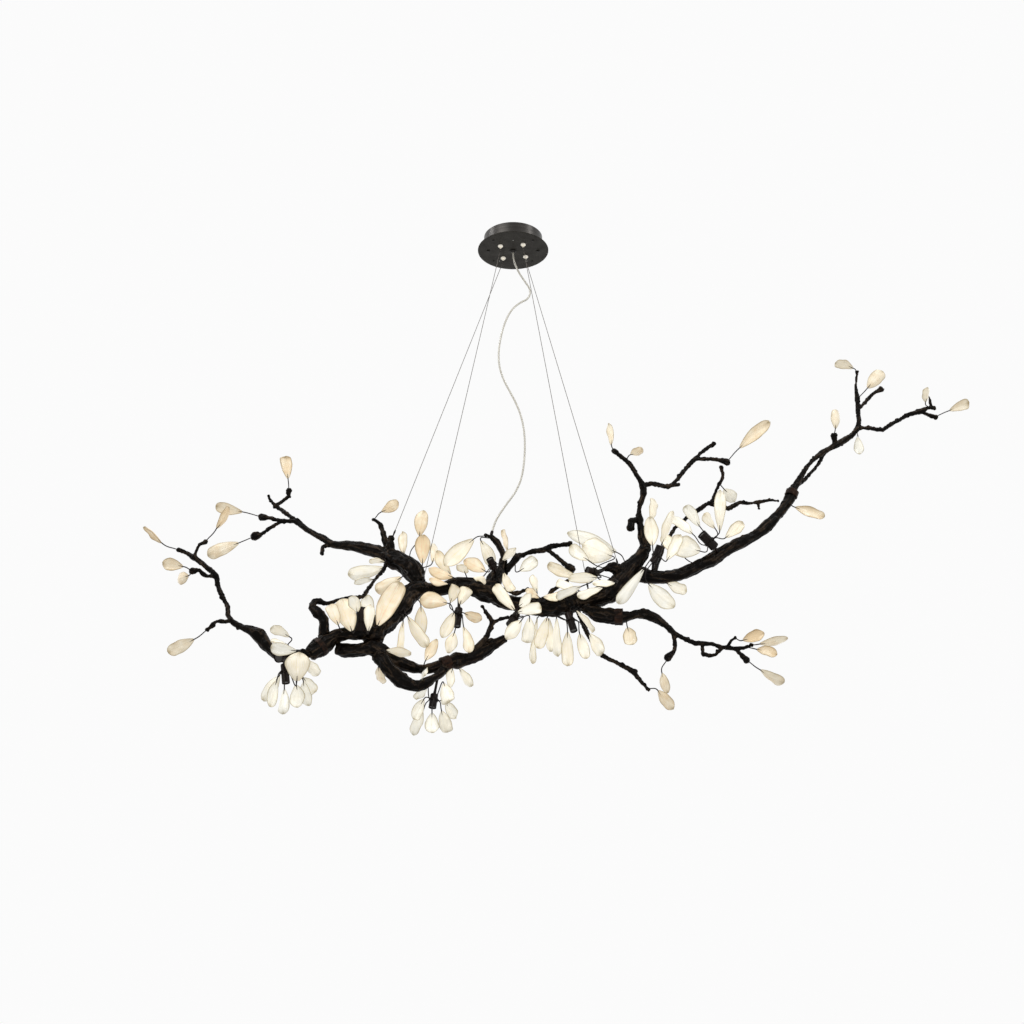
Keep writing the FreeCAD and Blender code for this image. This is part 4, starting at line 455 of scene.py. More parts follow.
# Round nubs scattered over the skin, from nought to one
def knobs(points, seed):
    cell = limbLook["knobCell"]
    home = np.floor(points / cell).astype(np.int64)
    height = np.zeros(len(points))
    for neighbour in np.ndindex(3, 3, 3):
        near = home + neighbour - 1
        key = cellKey(*near.T, seed * 7919)
        draws = []
        for k in range(4):
            key = ((key ^ (key >> 13)) * 1274126177) & 0x7FFFFFFF
            draws.append(((key ^ (key >> 15)) & 65535) / 65535)
        spot = (near + np.stack(draws[:3], -1)) * cell
        gap = np.linalg.norm(points - spot, axis=1) / limbLook["knobReach"]
        rise = np.clip(1 - gap, 0, 1) * (draws[3] < limbLook["knobOdds"])
        height = np.maximum(height, rise * rise * (3 - 2 * rise))
    return height


# The skin of a CAD limb with its lumps, ridges, grain, knobs and facets
def limbPiece(name, material="limb", relief=1.0):
    mesh = remeshed(name, limbLook["voxel"])
    edges = edgesOf(mesh)
    points = pointsOf(mesh)
    for i in range(limbLook["rounds"]):  # in and out again, so that the skin evens out and keeps its girth
        points = relaxed(points, edges, 0.6)
        points = relaxed(points, edges, -0.62)
    setPoints(mesh, points)
    normals = normalsOf(mesh)
    along = growthAxis(points, normals)
    radius = localRadius(mesh, points, normals, edges)
    ridges = streaks(points, along, limbLook["ridgePitch"], limbLook["ridgeReach"], 3)
    grain = streaks(points, along, limbLook["grainPitch"], limbLook["grainReach"], 7)
    lump = latticeNoise(points, limbLook["lumpPitch"], 5) - 0.5
    lump += (latticeNoise(points, limbLook["lumpPitch"] * 2.3, 9) - 0.5) * limbLook["smallLump"]
    ridges = 1 - 2 * np.abs(ridges)
    shift = radius * (lump * limbLook["lumpShare"] + ridges * limbLook["ridgeShare"] - limbLook["inset"])
    shift += grain * limbLook["grainDepth"] * np.clip(radius / 0.01, 0.4, 1)
    thin = np.clip(limbLook["knobFade"] - radius / limbLook["knobRadius"], limbLook["knobLeast"], 1)
    shift += knobs(points, 1) * limbLook["knobHeight"] * thin  # thick limbs are smoother than twigs
    # Angular lumps on thin twigs
    facets = np.abs(latticeNoise(points, limbLook["twigPitch"], 21) - 0.5) * 4 - 1
    shift += facets * limbLook["twigHeight"] * np.clip(1 - radius / limbLook["twigRadius"], 0, 1)
    shift *= relief
    setPoints(mesh, points + normals * shift[:, None])
    # The grain value is high on the ridges, which the limb colours make pale: partly patina, partly painted sheen
    setAttribute(mesh, "grain", np.clip(grain * 0.28 + ridges * 0.3 + 0.42, 0, 1))
    mesh.shade_smooth()
    return finished(newObject(name, mesh), "cast_" + name, material, name)


for name in limbNames:
    piece = limbPiece(name)
    print(name, len(piece.data.vertices))
limbPiece("limb_sleeves", "sleeve", 0.45)
print("limbs made")


# A number for each point, the same all over one island of the mesh
def islandLabels(mesh):
    keys = np.round(pointsOf(mesh) / 2e-6).astype(np.int64)
    inverse = np.unique(keys, axis=0, return_inverse=True)[1].ravel()
    label = np.arange(inverse.max() + 1)
    pairs = inverse[edgesOf(mesh)]
    while True:
        low = np.minimum(label[pairs[:, 0]], label[pairs[:, 1]])
        before = label.copy()
        np.minimum.at(label, pairs[:, 0], low)
        np.minimum.at(label, pairs[:, 1], low)
        label = label[label]
        if (label == before).all():
            return label[inverse]


def islandsOf(mesh):
    points = pointsOf(mesh)
    label = islandLabels(mesh)
    return [points[label == g] for g in np.unique(label)]


# Middle of a cloud of points, then its longest, middle and shortest direction
def mainDirections(points):
    centre = (points.max(0) + points.min(0)) / 2
    spread = points - points.mean(0)
    values, vectors = np.linalg.eigh(spread.T @ spread)
    return centre, vectors[:, 2], vectors[:, 1], vectors[:, 0]


# Base, direction, side, face, length, half width and cup of one plain petal
def petalFrame(points):
    centre, along, side, face = mainDirections(points)
    mid = points.mean(0)
    t = (points - mid) @ along
    s = (points - mid) @ side
    n = (points - mid) @ face
    length = t.max() - t.min()
    low = np.abs(s[t < t.min() + length * 0.06]).max()
    high = np.abs(s[t > t.max() - length * 0.06]).max()
    if low > high:
        along, t = -along, -t
        side, s = -side, -s
    half = (s.max() - s.min()) / 2
    middle = (s.max() + s.min()) / 2
    wide = (t - t.min()) / length
    belt = (wide > 0.55) & (wide < 0.85)
    inner = n[belt & (np.abs(s - middle) < half * 0.35)].mean()
    outer = n[belt & (np.abs(s - middle) > half * 0.8)].mean()
    if np.cross(side, along) @ face < 0:
        side, middle = -side, -middle
    base = mid + along * t.min() + side * middle
    foot = n[wide < 0.05].mean()
    tip = n[wide > 0.95].mean()
    return {"base": base + face * foot, "along": along, "side": side, "face": face, "length": length,
            "half": half, "cup": inner - outer, "rise": tip - foot}


# Metres and radians; edge, bow, notch, wave, foot, peaks and lean are shares of the petal's own size
petalLook = {
    "rows": 33, "columns": 16, "thickness": 0.0019, "edge": 0.45, "ruffle": 0.0022, "twist": 0.26,
    "roll": 0.0052, "crease": 0.0006, "tail": 0.017, "bow": 0.04, "notch": 0.05, "wave": 0.05, "foot": 0.17,
    "peaks": (0.5, 0.74), "tips": (1.8, 2.8, 4.2, 6.0), "lean": 0.16, "glowReach": 0.07,
    "sizes": ((1.16, 1.06), (1.08, 1.0), (1.0, 0.97)), "margin": 0.0013,
}

# One grid is the blank of every petal: t runs along it from foot to tip, s across it from edge to edge
bpy.ops.object.select_all(action="DESELECT")
bpy.ops.mesh.primitive_grid_add(x_subdivisions=petalLook["columns"], y_subdivisions=petalLook["rows"], size=1,
                                calc_uvs=True)
blank = bpy.context.object
blank.data.uv_layers[0].name = "petal"
flat = pointsOf(blank.data)
step = flat[:, 1] + 0.5
t = 0.4 * step + 0.6 * (1 - np.cos(math.pi * step)) / 2
s = np.sin(flat[:, 0] * math.pi)
spineRow = np.flatnonzero(np.abs(flat[:, 0]) < 1e-4)
spineRow = spineRow[np.argsort(t[spineRow])]
corners = rowsOf(blank.data.loops, "vertex_index", 1, np.int32)[:, 0]
uvPlaces = np.stack([s * 0.5 + 0.5, t], -1)[corners].astype(np.float32)
blank.data.uv_layers[0].data.foreach_set("uv", uvPlaces.ravel())
thickness = blank.vertex_groups.new(name="thickness")
for i, share in enumerate((petalLook["edge"] + (1 - petalLook["edge"]) * (1 - s ** 2))
                          * (1 - 0.4 * t ** 4) * (0.75 + 0.25 * np.clip(t / 0.25, 0, 1))):
    thickness.add([i], share, "REPLACE")


# Half widths of one side of a petal along its length, with its own peak, tip and waves
def petalEdge(rng, peak, point):
    peak = peak + rng.uniform(-0.06, 0.06)
    rise = petalLook["foot"] + (1 - petalLook["foot"]) * np.sin(np.clip(t / peak, 0, 1) * math.pi / 2) ** 0.9
    fall = 1 - np.clip((t - peak) / (1 - peak), 0, 1) ** (point * rng.uniform(0.9, 1.15))
    edge = np.where(t < peak, rise, fall ** 0.62)
    wave = np.sin(t * rng.uniform(6, 10) + rng.uniform(0, 6))
    wave = wave + 0.6 * np.sin(t * rng.uniform(13, 19) + rng.uniform(0, 6))
    return np.maximum(edge * (1 + petalLook["wave"] * wave * t) * rng.uniform(0.9, 1), 0.1)


# Points of the blank bent into one petal
def petalPoints(form, seed, spread, stretch):
    rng = np.random.default_rng(seed)
    peak = rng.uniform(*petalLook["peaks"])
    point = rng.choice(petalLook["tips"])
    left = petalEdge(rng, peak, point)
    right = petalEdge(rng, peak, point)
    width = np.where(s < 0, left, right) * spread
    across = s * width * form["half"]
    hump = np.sin(t * math.pi)
    lift = form["cup"] * (1 - s ** 2) * width + form["rise"] * t
    lift += petalLook["bow"] * form["length"] * rng.uniform(-1, 1) * hump
    ripple = np.sin(t * rng.uniform(8, 14) + np.sign(s) * 1.3 + rng.uniform(0, 6))
    lift += petalLook["ruffle"] * np.abs(s) ** 3 * ripple * t
    for side in (np.minimum(s, 0), np.maximum(s, 0)):
        lift += petalLook["roll"] * rng.uniform(-1, 1) * side ** 4 * hump
    lift -= petalLook["crease"] * np.exp(-(s / 0.12) ** 2) * hump
    turn = rng.uniform(-1, 1) * petalLook["twist"] * t
    x = across * np.cos(turn) + rng.uniform(-petalLook["lean"], petalLook["lean"]) * form["half"] * hump
    z = lift + across * np.sin(turn)
    notch = petalLook["notch"] * rng.uniform(0, 1) ** 2 * np.exp(-((s - rng.uniform(-0.5, 0.5)) / 0.35) ** 2)
    reach = form["length"] * (t * stretch - notch * t ** 6)
    return form["base"] + np.outer(reach, form["along"]) + np.outer(x, form["side"]) + np.outer(z, form["face"])


# How tan the petals of a node are, least and most; the others stay paler. The tan is partly the petals' own colour
# and partly painted shade
tintAndShadeRanges = {"petals_centre_left": (0.35, 0.95), "petals_crown": (0.3, 0.95), "twig_petals_left": (0.6, 1.0),
         "petals_left": (0.05, 0.7), "petals_centre": (0.1, 0.8), "twig_petals_right": (0.3, 0.85),
         "twig_petals_low": (0.6, 0.95)}
lampSpots = [points.mean(0) for points in islandsOf(nodes["light_lenses"].data)]
petalForms = []
lowest = np.array(cadBox[0]) + petalLook["margin"]
highest = np.array(cadBox[1]) - petalLook["margin"]


# All the petals of a CAD node: a copy of the blank each, joined and given their thickness
def petalPiece(name, body="fixture"):
    petals = []
    for i, points in enumerate(islandsOf(nodes[name].data)):
        form = petalFrame(points)
        seed = 17 * i + sum(ord(c) for c in name)
        petal = blank.copy()
        petal.data = blank.data.copy()
        bpy.context.scene.collection.objects.link(petal)
        fixed = body == "fixture"
        for spread, stretch in petalLook["sizes"] if fixed else [(1, 1)]:  # the widest that stays in the box
            shape = petalPoints(form, seed, spread, stretch)
            if (shape > lowest).all() and (shape < highest).all():
                break
        setPoints(petal.data, shape)
        spine = shape[spineRow]
        form["spine"] = spine[t[spineRow] * form["length"] < petalLook["tail"]]
        if fixed:
            petalForms.append(form)
        low, high = tintAndShadeRanges.get(name, (0.0, 0.5))
        # Petals that hang down are painted paler, partly as painted light
        if form["along"][2] < -0.5:  # petals that hang down are paler
            high = (low + high) / 2
        tintAndShade = np.random.default_rng(seed + 1).uniform(low, high)
        setAttribute(petal.data, "tintAndShade", np.full(len(shape), tintAndShade))
        # Nearness to a lamp, which sets the painted lamp light on each petal
        near = np.min([np.linalg.norm(shape - spot, axis=1) for spot in lampSpots], axis=0)
        setAttribute(petal.data, "glow", np.exp(-near / petalLook["glowReach"]))
        petals.append(petal)
    selectOnly(*petals)
    if len(petals) > 1:
        bpy.ops.object.join()
    piece = bpy.context.object
    shell = piece.modifiers.new("shell", "SOLIDIFY")
    shell.thickness = petalLook["thickness"]
    shell.offset = 0
    shell.vertex_group = "thickness"
    bpy.ops.object.modifier_apply(modifier="shell")
    piece.data.shade_smooth()
    return finished(piece, "cream_" + name, "petal", name, body)


for name in petalNames:
    petalPiece(name)
petalPiece("hanging_petal", "swinging_petal")
bpy.data.objects.remove(blank)
print("petals made", len(petalForms) + 1)


# Lights: where the stem leaves the limb, the tube's foot and mouth, and its radius
lights = [
    ((-0.5152, -0.1488, -1.1814), (-0.5124, -0.1584, -1.2049), (-0.5057, -0.1632, -1.2502), 0.009),
    ((-0.5028, -0.1488, -1.1814), (-0.5019, -0.1680, -1.1881), (-0.5205, -0.2016, -1.2017), 0.012),
    ((-0.3505, -0.0984, -1.1160), (-0.3498, -0.1056, -1.1150), (-0.3508, -0.1056, -1.0574), 0.012),
    ((-0.1330, 0.0072, -0.9668), (-0.1283, -0.0336, -1.0349), (-0.1322, -0.0432, -1.0835), 0.009),
    ((-0.1727, -0.0744, -1.2106), (-0.1797, -0.0768, -1.2533), (-0.1838, -0.0816, -1.2865), 0.009),
    ((0.1308, -0.0024, -1.0151), (0.1298, -0.0192, -1.0428), (0.1427, -0.0336, -1.0914), 0.009),
    ((0.0077, -0.0048, -1.0184), (0.0088, -0.0360, -1.0504), (-0.0091, -0.0576, -1.0829), 0.009),
    ((-0.0417, 0.0120, -0.9423), (-0.0451, -0.0144, -0.9309), (-0.0569, -0.0336, -0.9109), 0.009),
    ((0.3361, 0.0168, -0.9356), (0.3381, -0.0048, -0.9123), (0.3549, -0.0144, -0.8717), 0.009),
    ((0.5066, 0.0600, -0.8679), (0.4950, 0.0336, -0.8588), (0.4606, 0.0144, -0.8301), 0.012),
    ((0.2233, -0.0096, -0.9283), (0.2025, -0.0288, -0.9472), (0.1753, -0.0480, -0.9449), 0.009),
]
lights = [(np.array(limb), np.array(foot), np.array(mouth), radius) for limb, foot, mouth, radius in lights]

# Metres; a step is an inset as a share of the radius, then a height
lightLook = {
    "segments": 40, "wall": 0.0012, "bore": 0.015, "fit": 0.00015, "footBevel": 0.003, "rimBevel": 0.0004,
    "grooveLow": 0.0052, "grooveHigh": 0.0038, "grooveDepth": 0.0004, "stem": 0.003, "stemFlare": 1.35,
    "ringPlace": 0.42, "ringWall": 0.0022, "ringHeight": 0.005, "ringBevel": 0.0006,
    "moduleHeight": 0.006, "moduleSteps": [(0.25, 0.0008), (0.3, 0.001)],
    "lensLow": 0.0035, "lensHigh": 0.0026, "lensSteps": [(0.06, 0.0003), (0.26, 0.0002), (0.3, 0.0001)],
    "smooth": math.radians(38),
}


def unit(vector):
    return vector / np.linalg.norm(vector)


# A new cylinder about the z axis, left in edit mode
def startCylinder(radius, low, high):
    bpy.ops.object.select_all(action="DESELECT")
    bpy.ops.mesh.primitive_cylinder_add(vertices=lightLook["segments"], radius=radius, depth=high - low,
                                        location=(0, 0, (low + high) / 2))
    piece = bpy.context.object
    bpy.ops.object.transform_apply(location=True)
    bpy.ops.object.mode_set(mode="EDIT")
    return piece


# Selects, in edit mode, the faces or the edges that pass a test
def pick(piece, kind, test):
    bpy.ops.mesh.select_all(action="DESELECT")
    bpy.ops.mesh.select_mode(type=kind)
    cage = bmesh.from_edit_mesh(piece.data)
    for part in cage.faces if kind == "FACE" else cage.edges:
        part.select_set(test(part))
    bmesh.update_edit_mesh(piece.data)


def pickFaces(piece, test):
    pick(piece, "FACE", test)


# Selects the edges whose ends both pass a test of their radius and height
def pickEdges(piece, test):
    pick(piece, "EDGE", lambda edge: all(test(math.hypot(v.co.x, v.co.y), v.co.z) for v in edge.verts))


# Cuts the whole piece across at some heights, in edit mode
def cutAcross(*heights):
    for height in heights:
        bpy.ops.mesh.select_all(action="SELECT")
        bpy.ops.mesh.bisect(plane_co=(0, 0, height), plane_no=(0, 0, 1))


def isCap(height):
    return lambda face: len(face.verts) > 4 and abs(face.calc_center_median().z - height) < 1e-5


def raised(height):
    bpy.ops.mesh.extrude_region_move(TRANSFORM_OT_translate={"value": (0, 0, height)})


# Back to object mode, turned so that its own z runs along the light, with its place in its mesh
def placed(piece, foot, axis):
    bpy.ops.object.mode_set(mode="OBJECT")
    piece.rotation_euler = Vector(axis).to_track_quat("Z", "Y").to_euler()
    piece.location = foot
    bpy.ops.object.transform_apply(location=True, rotation=True)
    bpy.ops.object.shade_smooth_by_angle(angle=lightLook["smooth"])
    return piece


def tubePiece(radius, long):
    tube = startCylinder(radius, 0, long)
    low, high = long - lightLook["grooveLow"], long - lightLook["grooveHigh"]
    cutAcross(low, high)
    pickFaces(tube, lambda face: len(face.verts) == 4 and low < face.calc_center_median().z < high)
    bpy.ops.mesh.inset(thickness=0.0001, depth=-lightLook["grooveDepth"])
    pickFaces(tube, isCap(long))
    bpy.ops.mesh.inset(thickness=lightLook["wall"])
    raised(-lightLook["bore"])
    pickEdges(tube, lambda r, z: abs(z - long) < 1e-5)
    bpy.ops.mesh.bevel(offset=lightLook["rimBevel"], segments=2, affect="EDGES")
    pickEdges(tube, lambda r, z: z < 1e-5)
    bpy.ops.mesh.bevel(offset=lightLook["footBevel"], segments=5, affect="EDGES")
    return tube


def stemPiece(long):
    stem = startCylinder(lightLook["stem"], 0, long)
    cutAcross(long * 0.25, long * 0.75)
    for height in (0, long):
        pickFaces(stem, isCap(height))
        bpy.ops.transform.resize(value=(lightLook["stemFlare"], lightLook["stemFlare"], 1),
                                 center_override=(0, 0, height))
    return stem


def collarPiece(radius, low, high):
    inner = radius + lightLook["fit"]
    outer = inner + lightLook["ringWall"]
    collar = startCylinder(outer, low, high)
    pickFaces(collar, lambda face: len(face.verts) > 4)
    bpy.ops.mesh.inset(thickness=lightLook["ringWall"])
    bpy.ops.mesh.delete(type="FACE")
    pickEdges(collar, lambda r, z: r < (inner + outer) / 2)
    bpy.ops.mesh.bridge_edge_loops()
    for rim in (low, high):
        pickEdges(collar, lambda r, z: r > (inner + outer) / 2 and abs(z - rim) < 1e-5)
        bpy.ops.mesh.bevel(offset=lightLook["ringBevel"], segments=3, affect="EDGES")
    return collar


# A disc whose top rises in steps, each an inset share of its radius and a height
def steppedPiece(radius, low, high, steps):
    disc = startCylinder(radius, low, high)
    top = high
    for share, height in steps:
        pickFaces(disc, isCap(top))
        bpy.ops.mesh.inset(thickness=radius * share)
        raised(height)
        top += height
    return disc


def joinedPiece(pieces, name, material, replaced):
    selectOnly(*pieces)
    bpy.ops.object.join()
    return finished(bpy.context.object, name, material, replaced)


tubes, collars, modules, lenses = [], [], [], []
for limb, foot, mouth, radius in lights:
    long = float(np.linalg.norm(mouth - foot))
    axis = unit(mouth - foot)
    tubes.append(placed(tubePiece(radius, long), foot, axis))
    reach = float(np.linalg.norm(foot - limb))
    if reach > lightLook["stem"]:
        tubes.append(placed(stemPiece(reach + 0.001), limb, unit(foot - limb)))
    low = long * lightLook["ringPlace"] - lightLook["ringHeight"] / 2
    collars.append(placed(collarPiece(radius, low, low + lightLook["ringHeight"]), foot, axis))
    inside = radius - lightLook["wall"] - lightLook["fit"]
    seat = long - lightLook["bore"]
    module = steppedPiece(inside, seat, seat + lightLook["moduleHeight"], lightLook["moduleSteps"])
    modules.append(placed(module, foot, axis))
    lens = steppedPiece(inside, long - lightLook["lensLow"], long - lightLook["lensHigh"], lightLook["lensSteps"])
    lenses.append(placed(lens, foot, axis))
joinedPiece(tubes, "turned_tubes", "tube", "light_tubes")
joinedPiece(modules, "stepped_modules", "module", "led_modules")
joinedPiece(lenses, "domed_lenses", "lens", "light_lenses")
print("lights made")


wireLook = {"radius": 0.0012, "lead": 0.005, "sink": 0.003, "leave": 0.45, "arrive": 0.5,
            "tailShares": (1.15, 0.95, 0.6)}


# One wire: a free bend from its root to the petal, then its tail over the petal's foot
def addWire(curve, root, heading, form):
    spine = form["spine"]
    start, middle, end = spine[0], spine[len(spine) // 2], spine[-1]
    reach = np.linalg.norm(start - root)
    wire = curve.splines.new("BEZIER")
    wire.bezier_points.add(3)
    rows = [(root, root - heading * 0.001, root + heading * reach * wireLook["leave"], 1),
            (start, start - form["along"] * reach * wireLook["arrive"], start + (middle - start) / 3,
             wireLook["tailShares"][0]),
            (middle, middle - (end - start) / 6, middle + (end - start) / 6, wireLook["tailShares"][1]),
            (end, end - (end - middle) / 3, end + (end - middle) / 3, wireLook["tailShares"][2])]
    for point, (place, before, after, share) in zip(wire.bezier_points, rows):
        point.handle_left_type = "FREE"
        point.handle_right_type = "FREE"
        point.co = place
        point.handle_left = before
        point.handle_right = after
        point.radius = share


# A curve with a round section: steps sets how finely it runs along, and facets how finely it goes round
def roundCurve(name, radius, steps, facets):
    curve = bpy.data.curves.new(name, "CURVE")
    curve.dimensions = "3D"
    curve.resolution_u = steps
    curve.bevel_depth = radius
    curve.bevel_resolution = facets
    curve.use_fill_caps = True
    return newObject(name, curve)


wireIslands = islandsOf(nodes["petal_wires"].data)
ringIslands = islandsOf(nodes["petal_collars"].data)
wires = roundCurve("wires", wireLook["radius"], steps=9, facets=3)
ringWires = roundCurve("ringWires", wireLook["radius"], steps=9, facets=3)
for form in petalForms:
    knee = form["base"] - form["along"] * wireLook["lead"]
    wireGap, wire = min((np.linalg.norm(some - knee, axis=1).min(), i) for i, some in enumerate(wireIslands))
    ringGap = min(np.linalg.norm(some - knee, axis=1).min() for some in ringIslands)
    if wireGap < ringGap:
        some = wireIslands[wire]
        gap = np.linalg.norm(some - knee, axis=1)
        root = some[gap > gap.max() - 0.002].mean(0)
        line = unit(knee - root)
        off = some - root - np.outer((some - root) @ line, line)
        away = np.linalg.norm(off, axis=1)
        middle = (gap > 0.01) & (gap < gap.max() - 0.01) & (away > away.max() - 0.002)
        heading = line
        if away.max() > 0.004 and middle.any():
            heading = unit(some[middle].mean(0) - root)
        addWire(wires.data, root - line * wireLook["sink"], heading, form)
    else:
        reach = []
        for limb, foot, mouth, radius in lights:
            centre = foot + (mouth - foot) * lightLook["ringPlace"]
            axis = unit(mouth - foot)
            across = knee - centre - axis * ((knee - centre) @ axis)
            start = centre + unit(across) * (radius + lightLook["ringWall"] / 2)
            reach.append((np.linalg.norm(knee - start), start, unit(across)))
        length, start, outward = min(reach, key=lambda row: row[0])
        addWire(ringWires.data, start, unit(unit(knee - start) + outward), form)
print("wires", len(wires.data.splines), "ring wires", len(ringWires.data.splines))
selectOnly(wires, ringWires)
bpy.ops.object.convert(target="MESH")
for piece in (wires, ringWires):
    piece.data.shade_smooth()

# The small hook under the twig, a ring on a shank
hookLook = {"centre": (0.9071, 0.1680, -0.4952), "ring": 0.0026, "wire": 0.0006, "shank": 0.0007,
            "long": 0.0142, "rise": 0.0097, "bevel": 0.0004}
hookCentre = Vector(hookLook["centre"])
bpy.ops.object.select_all(action="DESELECT")
bpy.ops.mesh.primitive_torus_add(location=hookCentre, rotation=(0, math.radians(90), 0),
                                 major_radius=hookLook["ring"], minor_radius=hookLook["wire"],
                                 major_segments=32, minor_segments=12)
ring = bpy.context.object
bpy.ops.object.transform_apply(location=True, rotation=True)
ring.data.shade_smooth()
bpy.ops.object.select_all(action="DESELECT")
bpy.ops.mesh.primitive_cylinder_add(vertices=16, radius=hookLook["shank"], depth=hookLook["long"],
                                    location=hookCentre + Vector((0, 0, hookLook["rise"])))
shank = bpy.context.object
bpy.ops.object.mode_set(mode="EDIT")
pickFaces(shank, lambda face: len(face.verts) > 4 and face.calc_center_median().z < 0)
bpy.ops.mesh.bevel(offset=hookLook["bevel"], segments=3, affect="EDGES")
bpy.ops.object.mode_set(mode="OBJECT")
bpy.ops.object.transform_apply(location=True)
bpy.ops.object.shade_smooth_by_angle(angle=lightLook["smooth"])
joinedPiece([wires, ring, shank], "curved_wires", "wire", "petal_wires")
joinedPiece([ringWires] + collars, "ringed_wires", "wire", "petal_collars")
print("wires made")


# CAD nodes that keep their shape
kept = {
    "ceiling_bracket": "steel", "canopy_bolts": "screw", "canopy_drum": "drum", "canopy_plate": "plate",
    "rim_screws": "screw", "led_driver": "white", "terminal_block": "block", "inner_screws": "steel",
    "cord_gland": "screw", "gland_nut": "screw", "gripper_bodies": "body", "gripper_nuts": "body",
    "gripper_tip_back_left": "brass", "gripper_tip_back_right": "brass", "gripper_tip_front_left": "brass",
    "gripper_tip_front_right": "brass", "cable_ferrules": "wire", "cord_bush": "wire", "petal_eyelet": "wire",
}
for name, material in kept.items():
    mesh = nodes[name].data
    mesh.materials.clear()
    mesh.materials.append(materials[material])
print("CAD nodes coloured", len(kept))


# Free cord and taut cables, each on the route that the CAD tube takes
cordLook = {"diameter": 0.005, "length": 0.846}
cordRoute = [
    (0.0000, 0.0000, -0.0460), (0.0000, 0.0000, -0.0660), (0.0141, 0.0024, -0.1032), (0.0306, 0.0072, -0.1275),
    (0.0468, 0.0120, -0.1510), (0.0404, 0.0144, -0.1756), (0.0158, 0.0144, -0.1875), (-0.0051, 0.0120, -0.2096),
    (-0.0201, 0.0096, -0.2433), (-0.0314, 0.0072, -0.2870), (-0.0374, 0.0072, -0.3290), (-0.0368, 0.0072, -0.3721),
    (-0.0260, 0.0096, -0.4107), (-0.0081, 0.0120, -0.4463), (0.0097, 0.0144, -0.4817), (0.0223, 0.0168, -0.5197),
    (0.0287, 0.0168, -0.5613), (0.0296, 0.0192, -0.6014), (0.0270, 0.0192, -0.6423), (0.0206, 0.0192, -0.6829),
    (0.0057, 0.0192, -0.7191), (-0.0154, 0.0192, -0.7484), (-0.0326, 0.0192, -0.7749), (-0.0450, 0.0192, -0.7973),
    (-0.0514, 0.0192, -0.8215)]
# Each cable hangs straight from its top to a bend under the gripper, then runs to its end in the ferrule.
# The table has its length, where it hangs and its end
cableLook = {"diameter": 0.0015, "top": -0.022, "bend": -0.051, "round": 0.009}
cables = {
    "cable_back_left": (0.844, (-0.0263, 0.0333), (-0.2933, 0.0341, -0.8211)),
    "cable_front_left": (0.952, (-0.0333, -0.0263), (-0.2157, -0.0054, -0.9551)),
    "cable_front_right": (0.961, (0.0263, -0.0333), (0.1785, -0.0011, -0.9695)),
    "cable_back_right": (0.914, (0.0333, 0.0263), (0.2514, 0.0012, -0.9078)),
}


def cordCurve(name, route, diameter, material):
    piece = roundCurve(name, diameter / 2, steps=12, facets=5)
    spline = piece.data.splines.new("NURBS")
    spline.points.add(len(route) - 1)
    for point, place in zip(spline.points, route):
        point.co = (*place, 1)
    spline.order_u = 3
    spline.use_endpoint_u = True
    piece.data.materials.append(materials[material])
    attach(piece, "fixture")
    return piece


cord = cordCurve("braided_cord", cordRoute, cordLook["diameter"], "cord")
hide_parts("power_cord")
for name, (length, spot, end) in cables.items():
    top = (*spot, cableLook["top"])
    bend = Vector((*spot, cableLook["bend"]))
    above = bend + Vector((0, 0, cableLook["round"]))
    below = bend + (Vector(end) - bend).normalized() * cableLook["round"]
    rope = cordCurve("rope_" + name, [top, above, bend, below, end], cableLook["diameter"], "cable")
    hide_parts(name)
print("cords made")


# The photograph's view, from below and in front
viewLook = {"lens": 50, "sensor": 36, "place": (-0.003, -3.25, -2.039), "tilt": 111.2}
camera = bpy.data.cameras.new("camera")
camera.lens = viewLook["lens"]
camera.sensor_width = viewLook["sensor"]
camera.clip_end = 50
eye = newObject("camera", camera)
eye.location = viewLook["place"]
eye.rotation_euler = (math.radians(viewLook["tilt"]), 0, 0)
bpy.context.scene.camera = eye
bpy.context.scene.view_settings.view_transform = "Standard"

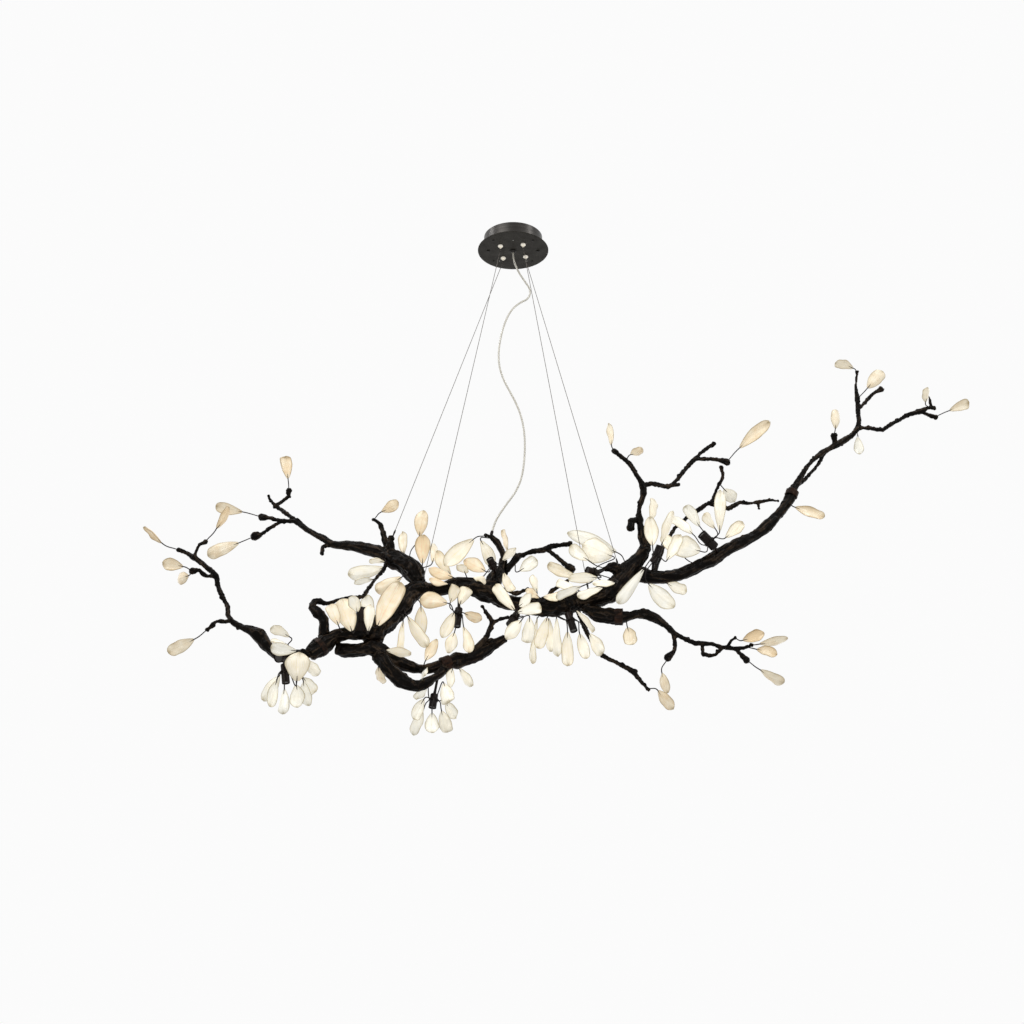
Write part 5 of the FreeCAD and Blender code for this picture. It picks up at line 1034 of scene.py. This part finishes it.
# A pale studio: brighter behind the object and overhead, and all pale where it is seen, mirrored or seen through
studioLook = {"tone": "FEFEFE", "front": 0.18, "behind": 0.5, "overhead": 0.5, "seen": 0.975}
world = bpy.data.worlds.new("studio")
bpy.context.scene.world = world
world.use_nodes = True
tree = world.node_tree
tree.nodes.clear()
direction = addNode(tree, "SeparateXYZ", {"Vector": addNode(tree, "TexCoord").outputs["Generated"]})
away = addNode(tree, "MapRange", {"Value": direction.outputs["Y"], "From Min": -0.2, "From Max": 0.25,
                                  "To Min": studioLook["front"], "To Max": studioLook["behind"]})
over = addNode(tree, "MapRange", {"Value": direction.outputs["Z"], "From Min": 0.1, "From Max": 0.9,
                                  "To Min": 0.0, "To Max": studioLook["overhead"]})
path = addNode(tree, "LightPath")
seen = addNode(tree, "Math", {0: path.outputs["Is Camera Ray"], 1: path.outputs["Is Glossy Ray"]},
               operation="MAXIMUM")
seen = addNode(tree, "Math", {0: seen, 1: path.outputs["Is Transmission Ray"]}, operation="MAXIMUM")
seen = addNode(tree, "Math", {0: seen, 1: studioLook["seen"]}, operation="MULTIPLY")
soft = addNode(tree, "Math", {0: away, 1: over}, operation="MAXIMUM")
strength = addNode(tree, "Math", {0: soft, 1: seen}, operation="MAXIMUM")
background = addNode(tree, "Background", {"Color": linear(studioLook["tone"]), "Strength": strength})
addNode(tree, "OutputWorld", {"Surface": background})
print("studio made")


# Place and target in metres, power in watts and spread in degrees
lamps = {
    "key": {"place": (-1.4, -1.6, 1.2), "target": (0, 0, -0.9), "size": 1.6, "power": 26},
    "fill": {"place": (1.8, -2.0, 0.4), "target": (0.2, 0, -0.8), "size": 1.6, "power": 15},
    "leftStrip": {"place": (-1.72, 0.06, 1.0), "target": (0, 0, -0.02), "size": 0.5, "power": 7},
    "rightStrip": {"place": (1.6, -0.64, 1.0), "target": (0, 0, -0.02), "size": 0.5, "power": 7},
    "lowFront": {"place": (-0.3, -1.4, -1.5), "target": (0, 0, -0.06), "size": 0.5, "power": 2.2, "spread": 90},
}


def areaLight(name, place, target, size, power, spread=180):
    light = bpy.data.lights.new(name, "AREA")
    light.size = size
    light.energy = power
    light.spread = math.radians(spread)
    lamp = newObject(name, light)
    lamp.location = place
    lamp.rotation_euler = (Vector(target) - Vector(place)).to_track_quat("-Z", "Y").to_euler()


for name, look in lamps.items():
    areaLight(name, **look)
print("lamps placed", len(lamps))
